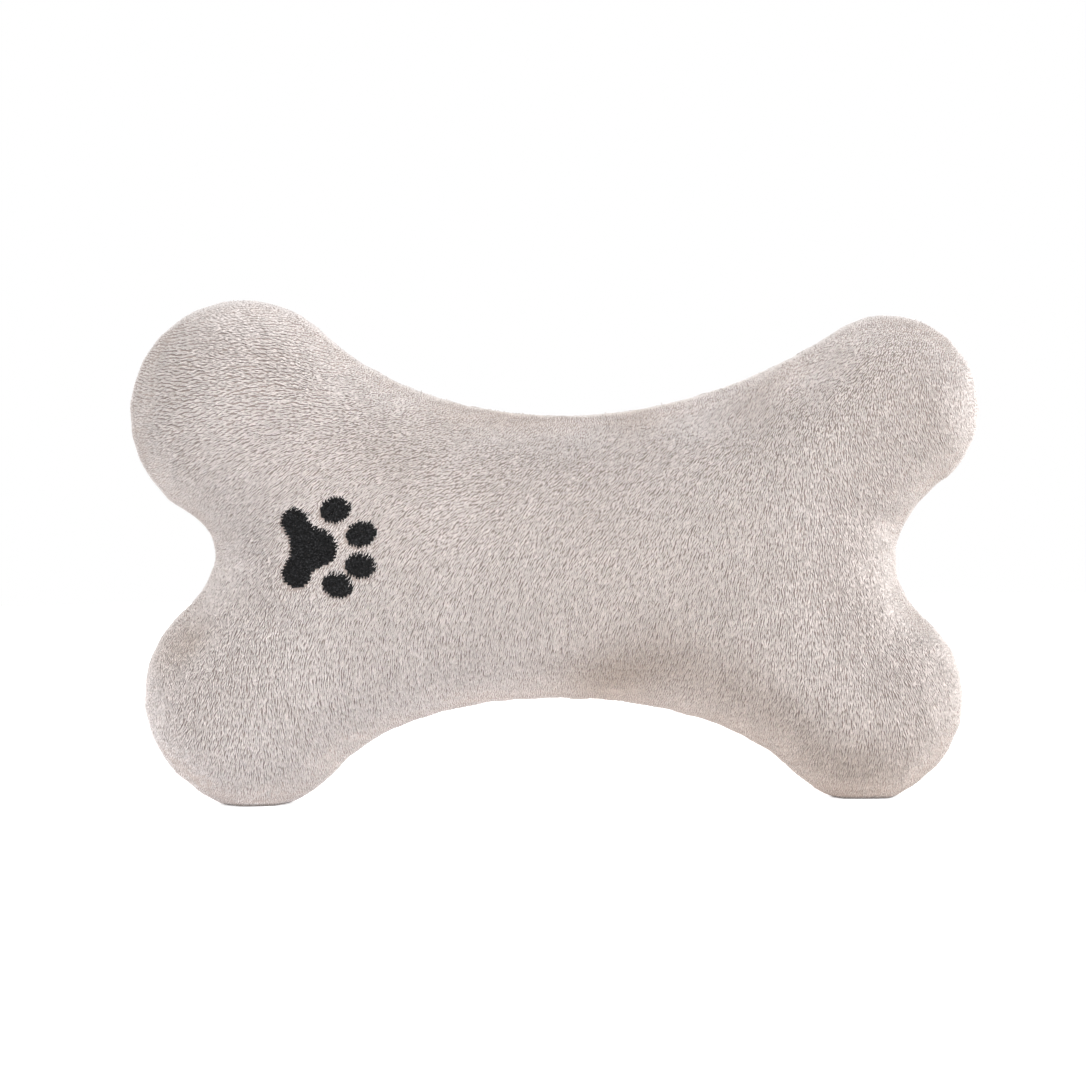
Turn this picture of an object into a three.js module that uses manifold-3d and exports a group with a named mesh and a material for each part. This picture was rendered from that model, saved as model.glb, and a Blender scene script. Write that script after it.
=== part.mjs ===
// A plush bone dog toy. Two plush panels are sewn together round their edge and turned, with the
// seam allowances inside. Fibre fills the four knobs and the shaft, a squeaker lies in the middle
// of the shaft, and a paw print is embroidered on the front, over a backing sheet.
// Lengths are in millimetres and angles in degrees. X runs along the bone, -Y is the front and Z is
// up. The toy stands on its two lower knobs, and the origin is on the floor under its middle.
import * as THREE from "three";
import { mergeVertices } from "three/addons/utils/BufferGeometryUtils.js";
import Module from "manifold-3d";

const wasm = await Module();
wasm.setup();

// The whole toy
const length = 200;
const height = 119;
const shaftThickness = 59;
const knobThickness = 46;
const footDepth = 0.5;
const clearance = 0.3;

// The knobs: their radii, and how far three of them stay back from the ends or the top
const upperLeftRadius = 26.9;
const upperRightRadius = 21.8;
const lowerRightRadius = 24;
const lowerLeftRadius = 26.3;
const upperRightDrop = 5.4;
const lowerRightInset = 4.4;
const lowerLeftInset = 2.4;

// The angles at which the knobs' roundings run into the top and the bottom of the shaft
const upperLeftJoinAngle = 45.5;
const upperRightJoinAngle = 123;
const lowerRightJoinAngle = -135.5;
const lowerLeftJoinAngle = -41.5;

// The plush panels and their seam
const plushThickness = 2.2;
const allowanceWidth = 6;
const allowanceThickness = 1.2;
const seamInset = 1.2;
const stitchHollow = 0.45;
const threadDiameter = 0.5;
const turningGap = 44;
const turningGapFromKnob = 14;
const ladderWidth = 1.2;
const ladderPitch = 4.4;

// The embroidered paw: its pad of three lobes, and four toes
const pawFromEnd = 42.3;
const pawUp = 61.65;
const padHeelRadius = 3.25;
const padHeelRise = 6.05;
const padHeelBack = 2.4;
const padTipRadius = 4.4;
const padTipForward = 2.7;
const toeLength = 7.2;
const toeWidth = 5.6;
const innerToeReach = 13.2;
const outerToeReach = 11.4;
const embroiderySink = 0.4;
const embroideryThickness = 0.7;
const backingWidth = 34;
const backingHeight = 34;
const backingCorner = 5;
const backingThickness = 0.4;

// The squeaker: a hollow bulb with a neck, and the whistle pushed into the neck
const squeakerAcross = -4.5;
const bulbRadius = 17;
const bulbLength = 26;
const bulbWall = 0.8;
const neckLength = 8;
const sleeveBore = 5.6;
const sleeveWall = 0.8;
const sleeveLength = 9;
const sleeveRim = 0.8;
const reedWidth = 3.4;
const reedThickness = 0.25;
const reedLength = 7.2;
const reedRoot = 2.6;
const blockLength = 8;
const airChannelWidth = 1.7;
const airChannelDepth = 1.3;

// The cells of a face: round a knob and along the waist or notch, and two rings that follow the edge
const knobCellsAlong = 5;
const waistCells = 8;
const knobCellsUp = 6;
const notchCells = 4;
const outerRingInset = 0.9;
const innerRingInset = 7;

// How full the swelling is, where a knob's filling ends, and the fineness of the small parts
const swellShare = 0.54;
const dentDepth = 1.5;
const neckShare = 0.2;
const roundSides = 20;
const bulbSteps = 7;
const padSides = 30;
const toeSides = 12;
const backingSides = 8;
const threadSides = 6;
const threadSteps = 80;

const radians = THREE.MathUtils.degToRad;
const { lerp, smoothstep } = THREE.MathUtils;
const pawAcross = pawFromEnd - length / 2;
const seamFace = clearance / 2;
const allowanceTop = seamFace + allowanceThickness;

// Where a knob's two sides part, so that one point of its edge is at its very top or bottom
const cellsPastPole = 2;
function cornerPast(pole, joint) {
  return pole - ((joint - pole) * cellsPastPole) / (knobCellsAlong - cellsPastPole);
}

// Each lobe of an outline is a circle that the outline meets and leaves at two angles, going
// clockwise. The handle shares, of the distance between two lobes, draw the curve that joins them.
const knobs = [
  {
    name: "upper_left",
    radius: upperLeftRadius,
    x: upperLeftRadius - length / 2,
    z: height - upperLeftRadius,
    meets: 240,
    meetShare: 0.26,
    leaves: upperLeftJoinAngle,
    leaveShare: 0.288,
    corner: cornerPast(90, upperLeftJoinAngle),
  },
  {
    name: "upper_right",
    radius: upperRightRadius,
    x: length / 2 - upperRightRadius,
    z: height - upperRightDrop - upperRightRadius,
    meets: upperRightJoinAngle,
    meetShare: 0.43,
    leaves: -54,
    leaveShare: 0.297,
    corner: cornerPast(90, upperRightJoinAngle),
  },
  {
    name: "lower_right",
    radius: lowerRightRadius,
    x: length / 2 - lowerRightInset - lowerRightRadius,
    z: lowerRightRadius - footDepth,
    meets: 48,
    meetShare: 0.616,
    leaves: lowerRightJoinAngle,
    leaveShare: 0.303,
    corner: cornerPast(-90, lowerRightJoinAngle),
  },
  {
    name: "lower_left",
    radius: lowerLeftRadius,
    x: lowerLeftInset + lowerLeftRadius - length / 2,
    z: lowerLeftRadius - footDepth,
    meets: lowerLeftJoinAngle,
    meetShare: 0.27,
    leaves: -228.5,
    leaveShare: 0.78,
    corner: cornerPast(-90, lowerLeftJoinAngle),
  },
];

const padLobes = [
  {
    radius: padHeelRadius,
    x: pawAcross - padHeelBack,
    z: pawUp + padHeelRise,
    meets: 215,
    meetShare: 0.42,
    leaves: 10,
    leaveShare: 0.35,
    corner: 110,
  },
  {
    radius: padTipRadius,
    x: pawAcross + padTipForward,
    z: pawUp,
    meets: 75,
    meetShare: 0.35,
    leaves: -75,
    leaveShare: 0.35,
    corner: 0,
  },
  {
    radius: padHeelRadius,
    x: pawAcross - padHeelBack,
    z: pawUp - padHeelRise,
    meets: -10,
    meetShare: 0.35,
    leaves: -215,
    leaveShare: 0.42,
    corner: -110,
  },
];

const toes = [
  { name: "paw_toe_1", reach: outerToeReach, angle: 52.5, tilt: 16 },
  { name: "paw_toe_2", reach: innerToeReach, angle: 13.5, tilt: 20 },
  { name: "paw_toe_3", reach: innerToeReach, angle: -18.5, tilt: -5 },
  { name: "paw_toe_4", reach: outerToeReach, angle: -51.5, tilt: -18 },
];

function lobePoint(lobe, angle) {
  const turn = radians(angle);
  return new THREE.Vector2(
    lobe.x + lobe.radius * Math.cos(turn),
    lobe.z + lobe.radius * Math.sin(turn),
  );
}

function clockwiseFrom(angle) {
  const turn = radians(angle);
  return new THREE.Vector2(Math.sin(turn), -Math.cos(turn));
}

function lobeArc(lobe, from, to) {
  const turns = [radians(from), radians(to)];
  return new THREE.EllipseCurve(lobe.x, lobe.z, lobe.radius, lobe.radius, ...turns, true);
}

// One side of an outline, from the corner of one lobe to the corner of the next.
function sideBetween(lobe, next) {
  const start = lobePoint(lobe, lobe.leaves);
  const end = lobePoint(next, next.meets);
  const span = start.distanceTo(end);
  const startHandle = clockwiseFrom(lobe.leaves).multiplyScalar(lobe.leaveShare * span);
  const endHandle = clockwiseFrom(next.meets).multiplyScalar(next.meetShare * span);
  const side = new THREE.CurvePath();
  side.add(lobeArc(lobe, lobe.corner, lobe.leaves));
  side.add(
    new THREE.CubicBezierCurve(start, start.clone().add(startHandle), end.clone().sub(endHandle), end),
  );
  side.add(lobeArc(next, next.meets, next.corner));
  return side;
}

const [topSide, rightSide, bottomSide, leftSide] = knobs.map((knob, k) =>
  sideBetween(knob, knobs[(k + 1) % knobs.length]),
);

// The points of a face's edge, clockwise as seen from the front, from the upper left corner
const cellsAlong = 2 * knobCellsAlong + waistCells;
const cellsUp = 2 * knobCellsUp + notchCells;

function sidePoints(side, counts) {
  return side.curves.flatMap((curve, k) =>
    Array.from({ length: counts[k] }, (_, step) => curve.getPointAt(step / counts[k])),
  );
}
const countsAlong = [knobCellsAlong, waistCells, knobCellsAlong];
const countsUp = [knobCellsUp, notchCells, knobCellsUp];
const edgePoints = [
  ...sidePoints(topSide, countsAlong),
  ...sidePoints(rightSide, countsUp),
  ...sidePoints(bottomSide, countsAlong),
  ...sidePoints(leftSide, countsUp),
];
const edgeCount = edgePoints.length;

const edgeOutward = edgePoints.map((_, k) => {
  const next = edgePoints[(k + 1) % edgeCount];
  const last = edgePoints[(k + edgeCount - 1) % edgeCount];
  return new THREE.Vector2(last.y - next.y, next.x - last.x).normalize();
});

function edgeMovedIn(distance) {
  return edgePoints.map((point, k) => point.clone().addScaledVector(edgeOutward[k], -distance));
}

// The face inside the two rings that follow its edge, in columns i and, from the top, rows j. Each
// point blends the four sides of the ring.
const rowLength = cellsAlong + 1;
const innerRing = edgeMovedIn(innerRingInset);

function innerPoint(i, j) {
  const [u, v] = [i / cellsAlong, j / cellsUp];
  const corners = [0, cellsAlong, cellsAlong + cellsUp, 2 * cellsAlong + cellsUp];
  const [upperLeft, upperRight, lowerRight, lowerLeft] = corners.map((k) => innerRing[k]);
  const top = innerRing[i];
  const right = innerRing[cellsAlong + j];
  const bottom = innerRing[2 * cellsAlong + cellsUp - i];
  const left = innerRing[(edgeCount - j) % edgeCount];
  const high = upperLeft.clone().lerp(upperRight, u);
  const low = lowerLeft.clone().lerp(lowerRight, u);
  const upright = left.clone().lerp(right, u);
  return top.clone().lerp(bottom, v).add(upright).sub(high.lerp(low, v));
}

const facePoints = [...edgePoints, ...edgeMovedIn(outerRingInset)];
const gridStart = facePoints.length;
for (let k = 0; k < rowLength * (cellsUp + 1); k += 1) {
  facePoints.push(innerPoint(k % rowLength, Math.floor(k / rowLength)));
}

// The numbers of the points round the edge, on the ring inside it, and round the inner grid
const edge = edgePoints.map((_, k) => k);
const outerRing = edge.map((k) => edgeCount + k);

function gridLoop() {
  const loop = [];
  for (let i = 0; i < cellsAlong; i += 1) loop.push(i);
  for (let j = 0; j < cellsUp; j += 1) loop.push(j * rowLength + cellsAlong);
  for (let i = cellsAlong; i > 0; i -= 1) loop.push(cellsUp * rowLength + i);
  for (let j = cellsUp; j > 0; j -= 1) loop.push(j * rowLength);
  return loop.map((number) => gridStart + number);
}

// How roomy the face is at a point: near the edge it is the distance to it, in the middle of a
// round part it is half the radius, and in a long straight part it is a quarter of the width.
function roominess(point) {
  let nearness = 0;
  edgePoints.forEach((corner, k) => {
    const from = corner.clone().sub(point);
    const to = edgePoints[(k + 1) % edgeCount].clone().sub(point);
    const across = Math.max(Math.abs(from.cross(to)), Number.EPSILON);
    nearness += (Math.atan2(across, from.dot(to)) * from.distanceTo(to)) / across;
  });
  return Math.PI / nearness;
}

// The stuffed thickness goes from the shaft's to the knobs' along the bone.
const shaftUp = (topSide.getPoint(1 / 2).y + bottomSide.getPoint(1 / 2).y) / 2;
const shaftRoom = roominess(new THREE.Vector2(0, shaftUp));

function knobMean(measure) {
  return knobs.reduce((sum, knob) => sum + measure(knob), 0) / knobs.length;
}
const knobRoom = knobMean((knob) => roominess(new THREE.Vector2(knob.x, knob.z)));
const knobReach = knobMean((knob) => Math.abs(knob.x));

// Where the cover is drawn in: three dimples under the top of the shaft, one over its arch, a crease
// below the upper right knob, and folds at the left notch and beside the two feet. Places and reaches
// are shares of the length, depths are shares of the dent depth, and angles turn the reaches.
const dents = [
  { x: -0.105, z: 0.452, along: 0.062, across: 0.024, turn: -12, depth: 0.7 },
  { x: 0.02, z: 0.445, along: 0.055, across: 0.022, turn: 4, depth: 0.9 },
  { x: 0.14, z: 0.45, along: 0.05, across: 0.022, turn: 8, depth: 1 },
  { x: 0.296, z: 0.5, along: 0.042, across: 0.02, turn: 78, depth: 1 },
  { x: 0.063, z: 0.14, along: 0.062, across: 0.027, turn: 4, depth: 0.9 },
  { x: -0.13, z: 0.122, along: 0.05, across: 0.022, turn: 24, depth: 0.6 },
  { x: -0.435, z: 0.2, along: 0.05, across: 0.02, turn: 42, depth: 1 },
  { x: 0.28, z: 0.07, along: 0.045, across: 0.02, turn: -48, depth: 0.8 },
  { x: -0.27, z: 0.062, along: 0.04, across: 0.02, turn: 52, depth: 0.7 },
];

function drawnIn(point) {
  return dents.reduce((sum, dent) => {
    const offset = new THREE.Vector2(dent.x, dent.z).multiplyScalar(-length).add(point);
    offset.rotateAround(new THREE.Vector2(), -radians(dent.turn)).divideScalar(length);
    const nearness = Math.exp(-((offset.x / dent.along) ** 2) - (offset.y / dent.across) ** 2);
    return sum + dentDepth * dent.depth * nearness;
  }, 0);
}

function swelling(point) {
  const towardsKnob = smoothstep(Math.abs(point.x), 0, knobReach);
  const crown = lerp(shaftThickness, knobThickness, towardsKnob) / 2;
  const room = lerp(shaftRoom, knobRoom, towardsKnob);
  return crown * (roominess(point) / room) ** swellShare - drawnIn(point);
}

// The front face, swollen towards -Y, with its edge on the seam plane
const frontPoints = facePoints.map((point, k) => {
  const rise = k < edgeCount ? 0 : swelling(point);
  return new THREE.Vector3(point.x, -rise, point.y);
});

// Strips of triangles that join rings of points, each to the next.
function stripsBetween(rings) {
  const index = [];
  for (let r = 0; r + 1 < rings.length; r += 1) {
    rings[r].forEach((a, k) => {
      const next = (k + 1) % edgeCount;
      const [b, c, d] = [rings[r][next], rings[r + 1][k], rings[r + 1][next]];
      index.push(a, b, c, b, d, c);
    });
  }
  return index;
}

function faceTriangles() {
  const index = stripsBetween([gridLoop(), outerRing, edge]);
  for (let j = 0; j < cellsUp; j += 1) {
    for (let i = 0; i < cellsAlong; i += 1) {
      const a = gridStart + j * rowLength + i;
      const [b, c, d] = [a + 1, a + rowLength + 1, a + rowLength];
      const falling = i < cellsAlong / 2 === j < cellsUp / 2;
      index.push(...(falling ? [a, c, b, a, d, c] : [a, d, b, b, d, c]));
    }
  }
  return index;
}
const faceIndex = faceTriangles();

// The outward directions at the front points. At the edge they lie in the seam plane.
function outwardDirections() {
  const sums = frontPoints.map(() => new THREE.Vector3());
  for (let t = 0; t < faceIndex.length; t += 3) {
    const [a, b, c] = faceIndex.slice(t, t + 3);
    const along = frontPoints[b].clone().sub(frontPoints[a]);
    const normal = along.cross(frontPoints[c].clone().sub(frontPoints[a]));
    [a, b, c].forEach((number) => sums[number].add(normal));
  }
  return sums.map((sum, k) => {
    const inPlane = edgeOutward[k];
    return k < edgeCount ? new THREE.Vector3(inPlane.x, 0, inPlane.y) : sum.normalize();
  });
}
const outward = outwardDirections();

// The front points moved in by a depth, and then off the seam plane by a lift
function sunken(numbers, depth, lift) {
  return numbers.map((number) => {
    const moved = frontPoints[number].clone().addScaledVector(outward[number], -depth);
    return moved.setY(moved.y - lift);
  });
}

function sunkenEdge(depth, lift) {
  return sunken(edge, depth, lift);
}

// The front face moved in by a depth. Its edge stops at a height of its own over the seam plane.
function sunkenFace(depth, edgeLift) {
  const face = sunken(Array.from(frontPoints.keys()), depth, seamFace);
  return [...sunkenEdge(depth, edgeLift), ...face.slice(edgeCount)];
}

function backToFront(index) {
  const turned = [];
  for (let t = 0; t < index.length; t += 3) turned.push(index[t], index[t + 2], index[t + 1]);
  return turned;
}

function meshOf(points, index) {
  const geometry = new THREE.BufferGeometry();
  geometry.setFromPoints(points);
  geometry.setIndex(index);
  return geometry;
}

// A closed surface from two faces, joined by rings of points that run round the edge
function closedFrom(firstFace, rings, secondFace) {
  const ringNumbers = rings.map((_, r) => edge.map((k) => firstFace.length + r * edgeCount + k));
  const lastStart = firstFace.length + rings.length * edgeCount;
  const lastEdge = edge.map((k) => lastStart + k);
  const lastFace = backToFront(faceIndex).map((number) => lastStart + number);
  const joins = stripsBetween([edge, ...ringNumbers, lastEdge]);
  return meshOf([...firstFace, ...rings.flat(), ...secondFace], [...faceIndex, ...joins, ...lastFace]);
}

function mirroredPoints(points) {
  return points.map((point) => point.clone().setY(-point.y));
}

function solidFrom(geometry) {
  const bare = geometry.clone();
  bare.deleteAttribute("normal");
  bare.deleteAttribute("uv");
  const merged = mergeVertices(bare);
  const corners = Array.from(merged.index.array);
  const triVerts = [];
  for (let t = 0; t < corners.length; t += 3) {
    const triangle = corners.slice(t, t + 3);
    if (new Set(triangle).size === triangle.length) triVerts.push(...triangle);
  }
  return new wasm.Manifold(
    new wasm.Mesh({
      numProp: 3,
      vertProperties: new Float32Array(merged.attributes.position.array),
      triVerts: new Uint32Array(triVerts),
    }),
  );
}

function geometryFrom(solid) {
  const mesh = solid.getMesh();
  const shared = new THREE.BufferGeometry();
  shared.setAttribute("position", new THREE.BufferAttribute(mesh.vertProperties, 3));
  shared.setIndex(new THREE.BufferAttribute(mesh.triVerts, 1));
  const geometry = shared.toNonIndexed();
  geometry.computeVertexNormals();
  return geometry;
}

// The stuffed form below its surface by a depth, front and back together
function formAt(depth) {
  const front = sunkenFace(depth, seamFace);
  return solidFrom(closedFrom(front, [], mirroredPoints(front)));
}

// A block from the seam plane out past the front, over an outline drawn in X and Z
function blockOver(shape, curveSegments) {
  const geometry = new THREE.ExtrudeGeometry(shape, {
    depth: shaftThickness,
    bevelEnabled: false,
    curveSegments,
  });
  return solidFrom(geometry.rotateX(Math.PI / 2));
}

// The plush panel has its outer face, the edge turned in at the seam, and its inner face. The line
// of stitches lies in a shallow hollow of the seam allowance.
function panelGeometry() {
  const rings = [
    sunkenEdge(seamInset, seamFace + stitchHollow),
    sunkenEdge(allowanceWidth, seamFace),
    sunkenEdge(allowanceWidth, allowanceTop),
  ];
  return closedFrom(sunkenFace(0, seamFace), rings, sunkenFace(plushThickness, allowanceTop));
}

function mirroredGeometry(geometry) {
  return meshOf(
    mirroredPoints(pointsOf(geometry)),
    backToFront(Array.from(geometry.index.array)),
  );
}

function pointsOf(geometry) {
  const positions = geometry.getAttribute("position");
  return Array.from({ length: positions.count }, (_, k) =>
    new THREE.Vector3().fromBufferAttribute(positions, k),
  );
}

const underFloor = solidFrom(
  new THREE.BoxGeometry(length * 2, shaftThickness * 2, height).translate(0, 0, -height / 2),
);

// The outlines of the pad, of a toe and of the backing sheet, each grown by a margin
function padShape(margin) {
  const lobes = padLobes.map((lobe) => ({ ...lobe, radius: lobe.radius + margin }));
  const outline = new THREE.CurvePath();
  lobes.forEach((lobe, k) => {
    outline.curves.push(...sideBetween(lobe, lobes[(k + 1) % lobes.length]).curves);
  });
  return new THREE.Shape(outline.getSpacedPoints(padSides).slice(1));
}

function toeShape(toe, margin) {
  const turn = radians(toe.angle);
  const x = pawAcross + toe.reach * Math.cos(turn);
  const z = pawUp + toe.reach * Math.sin(turn);
  const radii = [toeLength / 2 + margin, toeWidth / 2 + margin];
  const shape = new THREE.Shape();
  shape.absellipse(x, z, ...radii, 0, 2 * Math.PI, false, radians(toe.tilt));
  return shape;
}

function backingShape(margin) {
  const across = backingWidth / 2 - backingCorner;
  const up = backingHeight / 2 - backingCorner;
  const middle = pawAcross + padTipForward + padTipRadius;
  const shape = new THREE.Shape();
  const corners = [
    [1, 1],
    [-1, 1],
    [-1, -1],
    [1, -1],
  ];
  corners.forEach(([side, level], k) => {
    const start = (k * Math.PI) / 2;
    const centre = [middle + side * across, pawUp + level * up];
    shape.absarc(...centre, backingCorner + margin, start, start + Math.PI / 2);
  });
  shape.closePath();
  return shape;
}

// Each embroidered field lies in a hollow of the front panel, a little below the pile. The pad's
// outline is made of straight lines already.
const padLineSegments = 1;
const fields = [
  { name: "paw_pad", shape: padShape, curveSegments: padLineSegments },
  ...toes.map((toe) => ({
    name: toe.name,
    shape: (margin) => toeShape(toe, margin),
    curveSegments: toeSides / 2,
  })),
];
const embroideryBottom = embroiderySink + embroideryThickness;
const underPile = formAt(embroiderySink);
const underField = formAt(embroideryBottom);
const underHollow = formAt(embroideryBottom + clearance);

function fieldSolid(field) {
  return blockOver(field.shape(0), field.curveSegments).intersect(underPile).subtract(underField);
}

function fieldHollow(field) {
  return blockOver(field.shape(clearance), field.curveSegments).subtract(underHollow);
}

const backingTop = plushThickness + clearance;
const backingBottom = backingTop + backingThickness;
const backingSolid = blockOver(backingShape(0), backingSides / 2)
  .intersect(formAt(backingTop))
  .subtract(formAt(backingBottom));
const backingHollow = blockOver(backingShape(clearance), backingSides / 2).subtract(
  formAt(backingBottom + clearance),
);

// The threads run along the stitch line. The turning gap, near the lower right knob, is closed by
// a ladder stitch.
const stitchLine = new THREE.CatmullRomCurve3(sunkenEdge(seamInset, 0), true);
const ladderLine = new THREE.CatmullRomCurve3(sunkenEdge(seamInset + ladderWidth, 0), true);
const stitchLength = stitchLine.getLength();
const lowerKnobEnd =
  topSide.getLength() + rightSide.getLength() + bottomSide.curves[0].getLength();
const gapStart = (lowerKnobEnd + turningGapFromKnob) / stitchLength;
const gapEnd = gapStart + turningGap / stitchLength;

function threadGeometry(points, steps) {
  const section = new THREE.Shape();
  section.absarc(0, 0, threadDiameter / 2, 0, 2 * Math.PI);
  return new THREE.ExtrudeGeometry(section, {
    steps,
    curveSegments: threadSides / 2,
    bevelEnabled: false,
    extrudePath: new THREE.CatmullRomCurve3(points),
  });
}

function seamThreadGeometry() {
  const rest = (clearance + threadDiameter) / stitchLength;
  const points = Array.from({ length: threadSteps + 1 }, (_, k) => {
    const share = lerp(gapEnd + rest, 1 + gapStart - rest, k / threadSteps);
    return stitchLine.getPointAt(share % 1);
  });
  return threadGeometry(points, threadSteps);
}

function closingThreadGeometry() {
  const crossings = 2 * Math.round(turningGap / ladderPitch);
  const points = Array.from({ length: crossings + 1 }, (_, k) => {
    const along = stitchLine.getUtoTmapping(lerp(gapStart, gapEnd, k / crossings));
    return (k % 2 ? ladderLine : stitchLine).getPoint(along);
  });
  return threadGeometry(points, crossings * 2);
}

// The squeaker is turned about its own Y axis, with its neck towards +Y. It is laid along the bone
// when it is placed.
const sleeveRadius = sleeveBore / 2 + sleeveWall;
const neckBore = sleeveRadius + clearance;
const neckRadius = neckBore + bulbWall;
const neckEnd = bulbLength / 2 + neckLength;
const sleeveEnd = neckEnd + clearance + sleeveRim;

function turned(points) {
  return solidFrom(new THREE.LatheGeometry(points, roundSides));
}

// Points of a bulb's profile, from its closed end to where it meets a neck
function bulbProfile(radius, halfLength, neck) {
  const last = Math.acos(neck / radius);
  return Array.from({ length: bulbSteps + 1 }, (_, k) => {
    const turn = lerp(-Math.PI / 2, last, k / bulbSteps);
    return new THREE.Vector2(k ? radius * Math.cos(turn) : 0, halfLength * Math.sin(turn));
  });
}

function bulbSolid() {
  const inside = bulbProfile(bulbRadius - bulbWall, bulbLength / 2 - bulbWall, neckBore);
  return turned([
    ...bulbProfile(bulbRadius, bulbLength / 2, neckRadius),
    new THREE.Vector2(neckRadius, neckEnd),
    new THREE.Vector2(neckBore, neckEnd),
    ...inside.reverse(),
  ]);
}

function squeakerHollow() {
  const radius = bulbRadius + clearance;
  const neck = neckRadius + clearance;
  return turned([
    ...bulbProfile(radius, bulbLength / 2 + clearance, neck),
    new THREE.Vector2(neck, sleeveEnd + clearance),
    new THREE.Vector2(0, sleeveEnd + clearance),
  ]);
}

function sleeveSolid() {
  const start = neckEnd - sleeveLength;
  const profile = [
    [sleeveBore / 2, start],
    [sleeveRadius, start],
    [sleeveRadius, neckEnd + clearance],
    [neckRadius, neckEnd + clearance],
    [neckRadius, sleeveEnd],
    [sleeveBore / 2, sleeveEnd],
    [sleeveBore / 2, start],
  ];
  return turned(profile.map(([radius, along]) => new THREE.Vector2(radius, along)));
}

// The reed lies between the block, which has the air channel, and the clamp that holds its root.
const blockEnd = neckEnd - clearance;
const blockStart = blockEnd - blockLength;
const reedHinge = blockEnd - reedRoot;
const reedFace = reedThickness / 2 + clearance;
const blockRadius = sleeveBore / 2 - clearance;

// A half round bar in the sleeve's bore, from one place along it to another, flat side down
function halfRound(start, end) {
  const shape = new THREE.Shape();
  const lowest = Math.asin(reedFace / blockRadius);
  shape.absarc(0, 0, blockRadius, lowest, Math.PI - lowest);
  shape.closePath();
  const bar = new THREE.ExtrudeGeometry(shape, {
    depth: end - start,
    bevelEnabled: false,
    curveSegments: roundSides / 4,
  });
  return bar.rotateX(Math.PI / 2).translate(0, end, 0);
}

function clampSolid() {
  return solidFrom(halfRound(reedHinge, blockEnd));
}

function blockSolid() {
  const channelLength = blockLength - reedRoot / 2;
  const channel = new THREE.BoxGeometry(airChannelWidth, channelLength, 2 * airChannelDepth);
  channel.translate(0, blockEnd + clearance - channelLength / 2, -reedFace);
  return solidFrom(halfRound(blockStart, blockEnd).rotateY(Math.PI)).subtract(solidFrom(channel));
}

function reedSolid() {
  const tip = reedHinge + reedRoot - reedLength + reedWidth / 2;
  const shape = new THREE.Shape();
  shape.absarc(0, tip, reedWidth / 2, Math.PI, 2 * Math.PI);
  shape.lineTo(reedWidth / 2, blockEnd);
  shape.lineTo(-reedWidth / 2, blockEnd);
  shape.closePath();
  const strip = new THREE.ExtrudeGeometry(shape, {
    depth: reedThickness,
    bevelEnabled: false,
    curveSegments: roundSides / 4,
  });
  return solidFrom(strip.translate(0, 0, -reedThickness / 2));
}

const squeaker = new THREE.Group();
squeaker.position.set(squeakerAcross, 0, shaftUp);
squeaker.rotation.z = -Math.PI / 2;
squeaker.updateMatrix();

// The filling fills the inside of both panels, with a slot all round for the seam allowances.
function fillingForm() {
  const slotFace = allowanceTop + clearance;
  const slotDepth = allowanceWidth + clearance;
  const front = sunkenFace(plushThickness + clearance, slotFace);
  const rings = [sunkenEdge(slotDepth, slotFace), sunkenEdge(slotDepth, -slotFace)];
  return solidFrom(closedFrom(front, rings, mirroredPoints(front)));
}

// All that lies past a plane across a knob's neck, which is a distance back from its centre
function pastNeck(knob, back) {
  const block = new THREE.BoxGeometry(length, shaftThickness * 2, length * 2);
  block.translate(length / 2 - back, 0, 0);
  block.rotateY(-radians((knob.leaves + knob.meets) / 2));
  return solidFrom(block.translate(knob.x, 0, knob.z));
}

function knobWad(form, knob) {
  return form.intersect(pastNeck(knob, knob.radius * neckShare));
}

function shaftWad(form, side) {
  const rest = knobs.reduce(
    (left, knob) => left.subtract(pastNeck(knob, knob.radius * neckShare + clearance)),
    form,
  );
  const half = new THREE.BoxGeometry(length, shaftThickness, height * 2);
  half.translate(0, side * (shaftThickness / 2 + seamFace), 0);
  const hollow = geometryFrom(squeakerHollow()).applyMatrix4(squeaker.matrix);
  return rest.intersect(solidFrom(half)).subtract(solidFrom(hollow));
}

const plush = { color: 0xcbc1bc, roughness: 1, metalness: 0 };
const sewingThread = { color: 0xb9aea9, roughness: 0.8, metalness: 0 };
const embroidery = { color: 0x222223, roughness: 0.55, metalness: 0 };
const backingSheet = { color: 0xefefec, roughness: 0.95, metalness: 0 };
const fibre = { color: 0xf4f3ef, roughness: 1, metalness: 0 };
const softPlastic = { color: 0xe9e7dc, roughness: 0.4, metalness: 0 };
const hardPlastic = { color: 0xf5f4f0, roughness: 0.35, metalness: 0 };
const springFilm = { color: 0xdbdedb, roughness: 0.25, metalness: 0 };

function piece(name, geometry, finish) {
  const mesh = new THREE.Mesh(geometry, new THREE.MeshStandardMaterial(finish));
  mesh.name = name;
  return mesh;
}

function solidPiece(name, solid, finish) {
  return piece(name, geometryFrom(solid), finish);
}

function cover() {
  const group = new THREE.Group();
  const panel = panelGeometry();
  const hollows = fields.map(fieldHollow);
  const front = hollows.reduce((left, hollow) => left.subtract(hollow), solidFrom(panel));
  group.add(
    solidPiece("front_panel", front.subtract(underFloor), plush),
    solidPiece("back_panel", solidFrom(mirroredGeometry(panel)).subtract(underFloor), plush),
    piece("seam_thread", seamThreadGeometry(), sewingThread),
    piece("closing_thread", closingThreadGeometry(), sewingThread),
    solidPiece("embroidery_backing", backingSolid, backingSheet),
    ...fields.map((field) => solidPiece(field.name, fieldSolid(field), embroidery)),
  );
  return group;
}

function filling() {
  const group = new THREE.Group();
  const form = fillingForm();
  knobs.forEach((knob) => {
    group.add(solidPiece(knob.name + "_filling", knobWad(form, knob), fibre));
  });
  const front = shaftWad(form, -1).subtract(backingHollow);
  group.add(
    solidPiece("shaft_filling_front", front, fibre),
    solidPiece("shaft_filling_back", shaftWad(form, 1), fibre),
  );
  return group;
}

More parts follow.
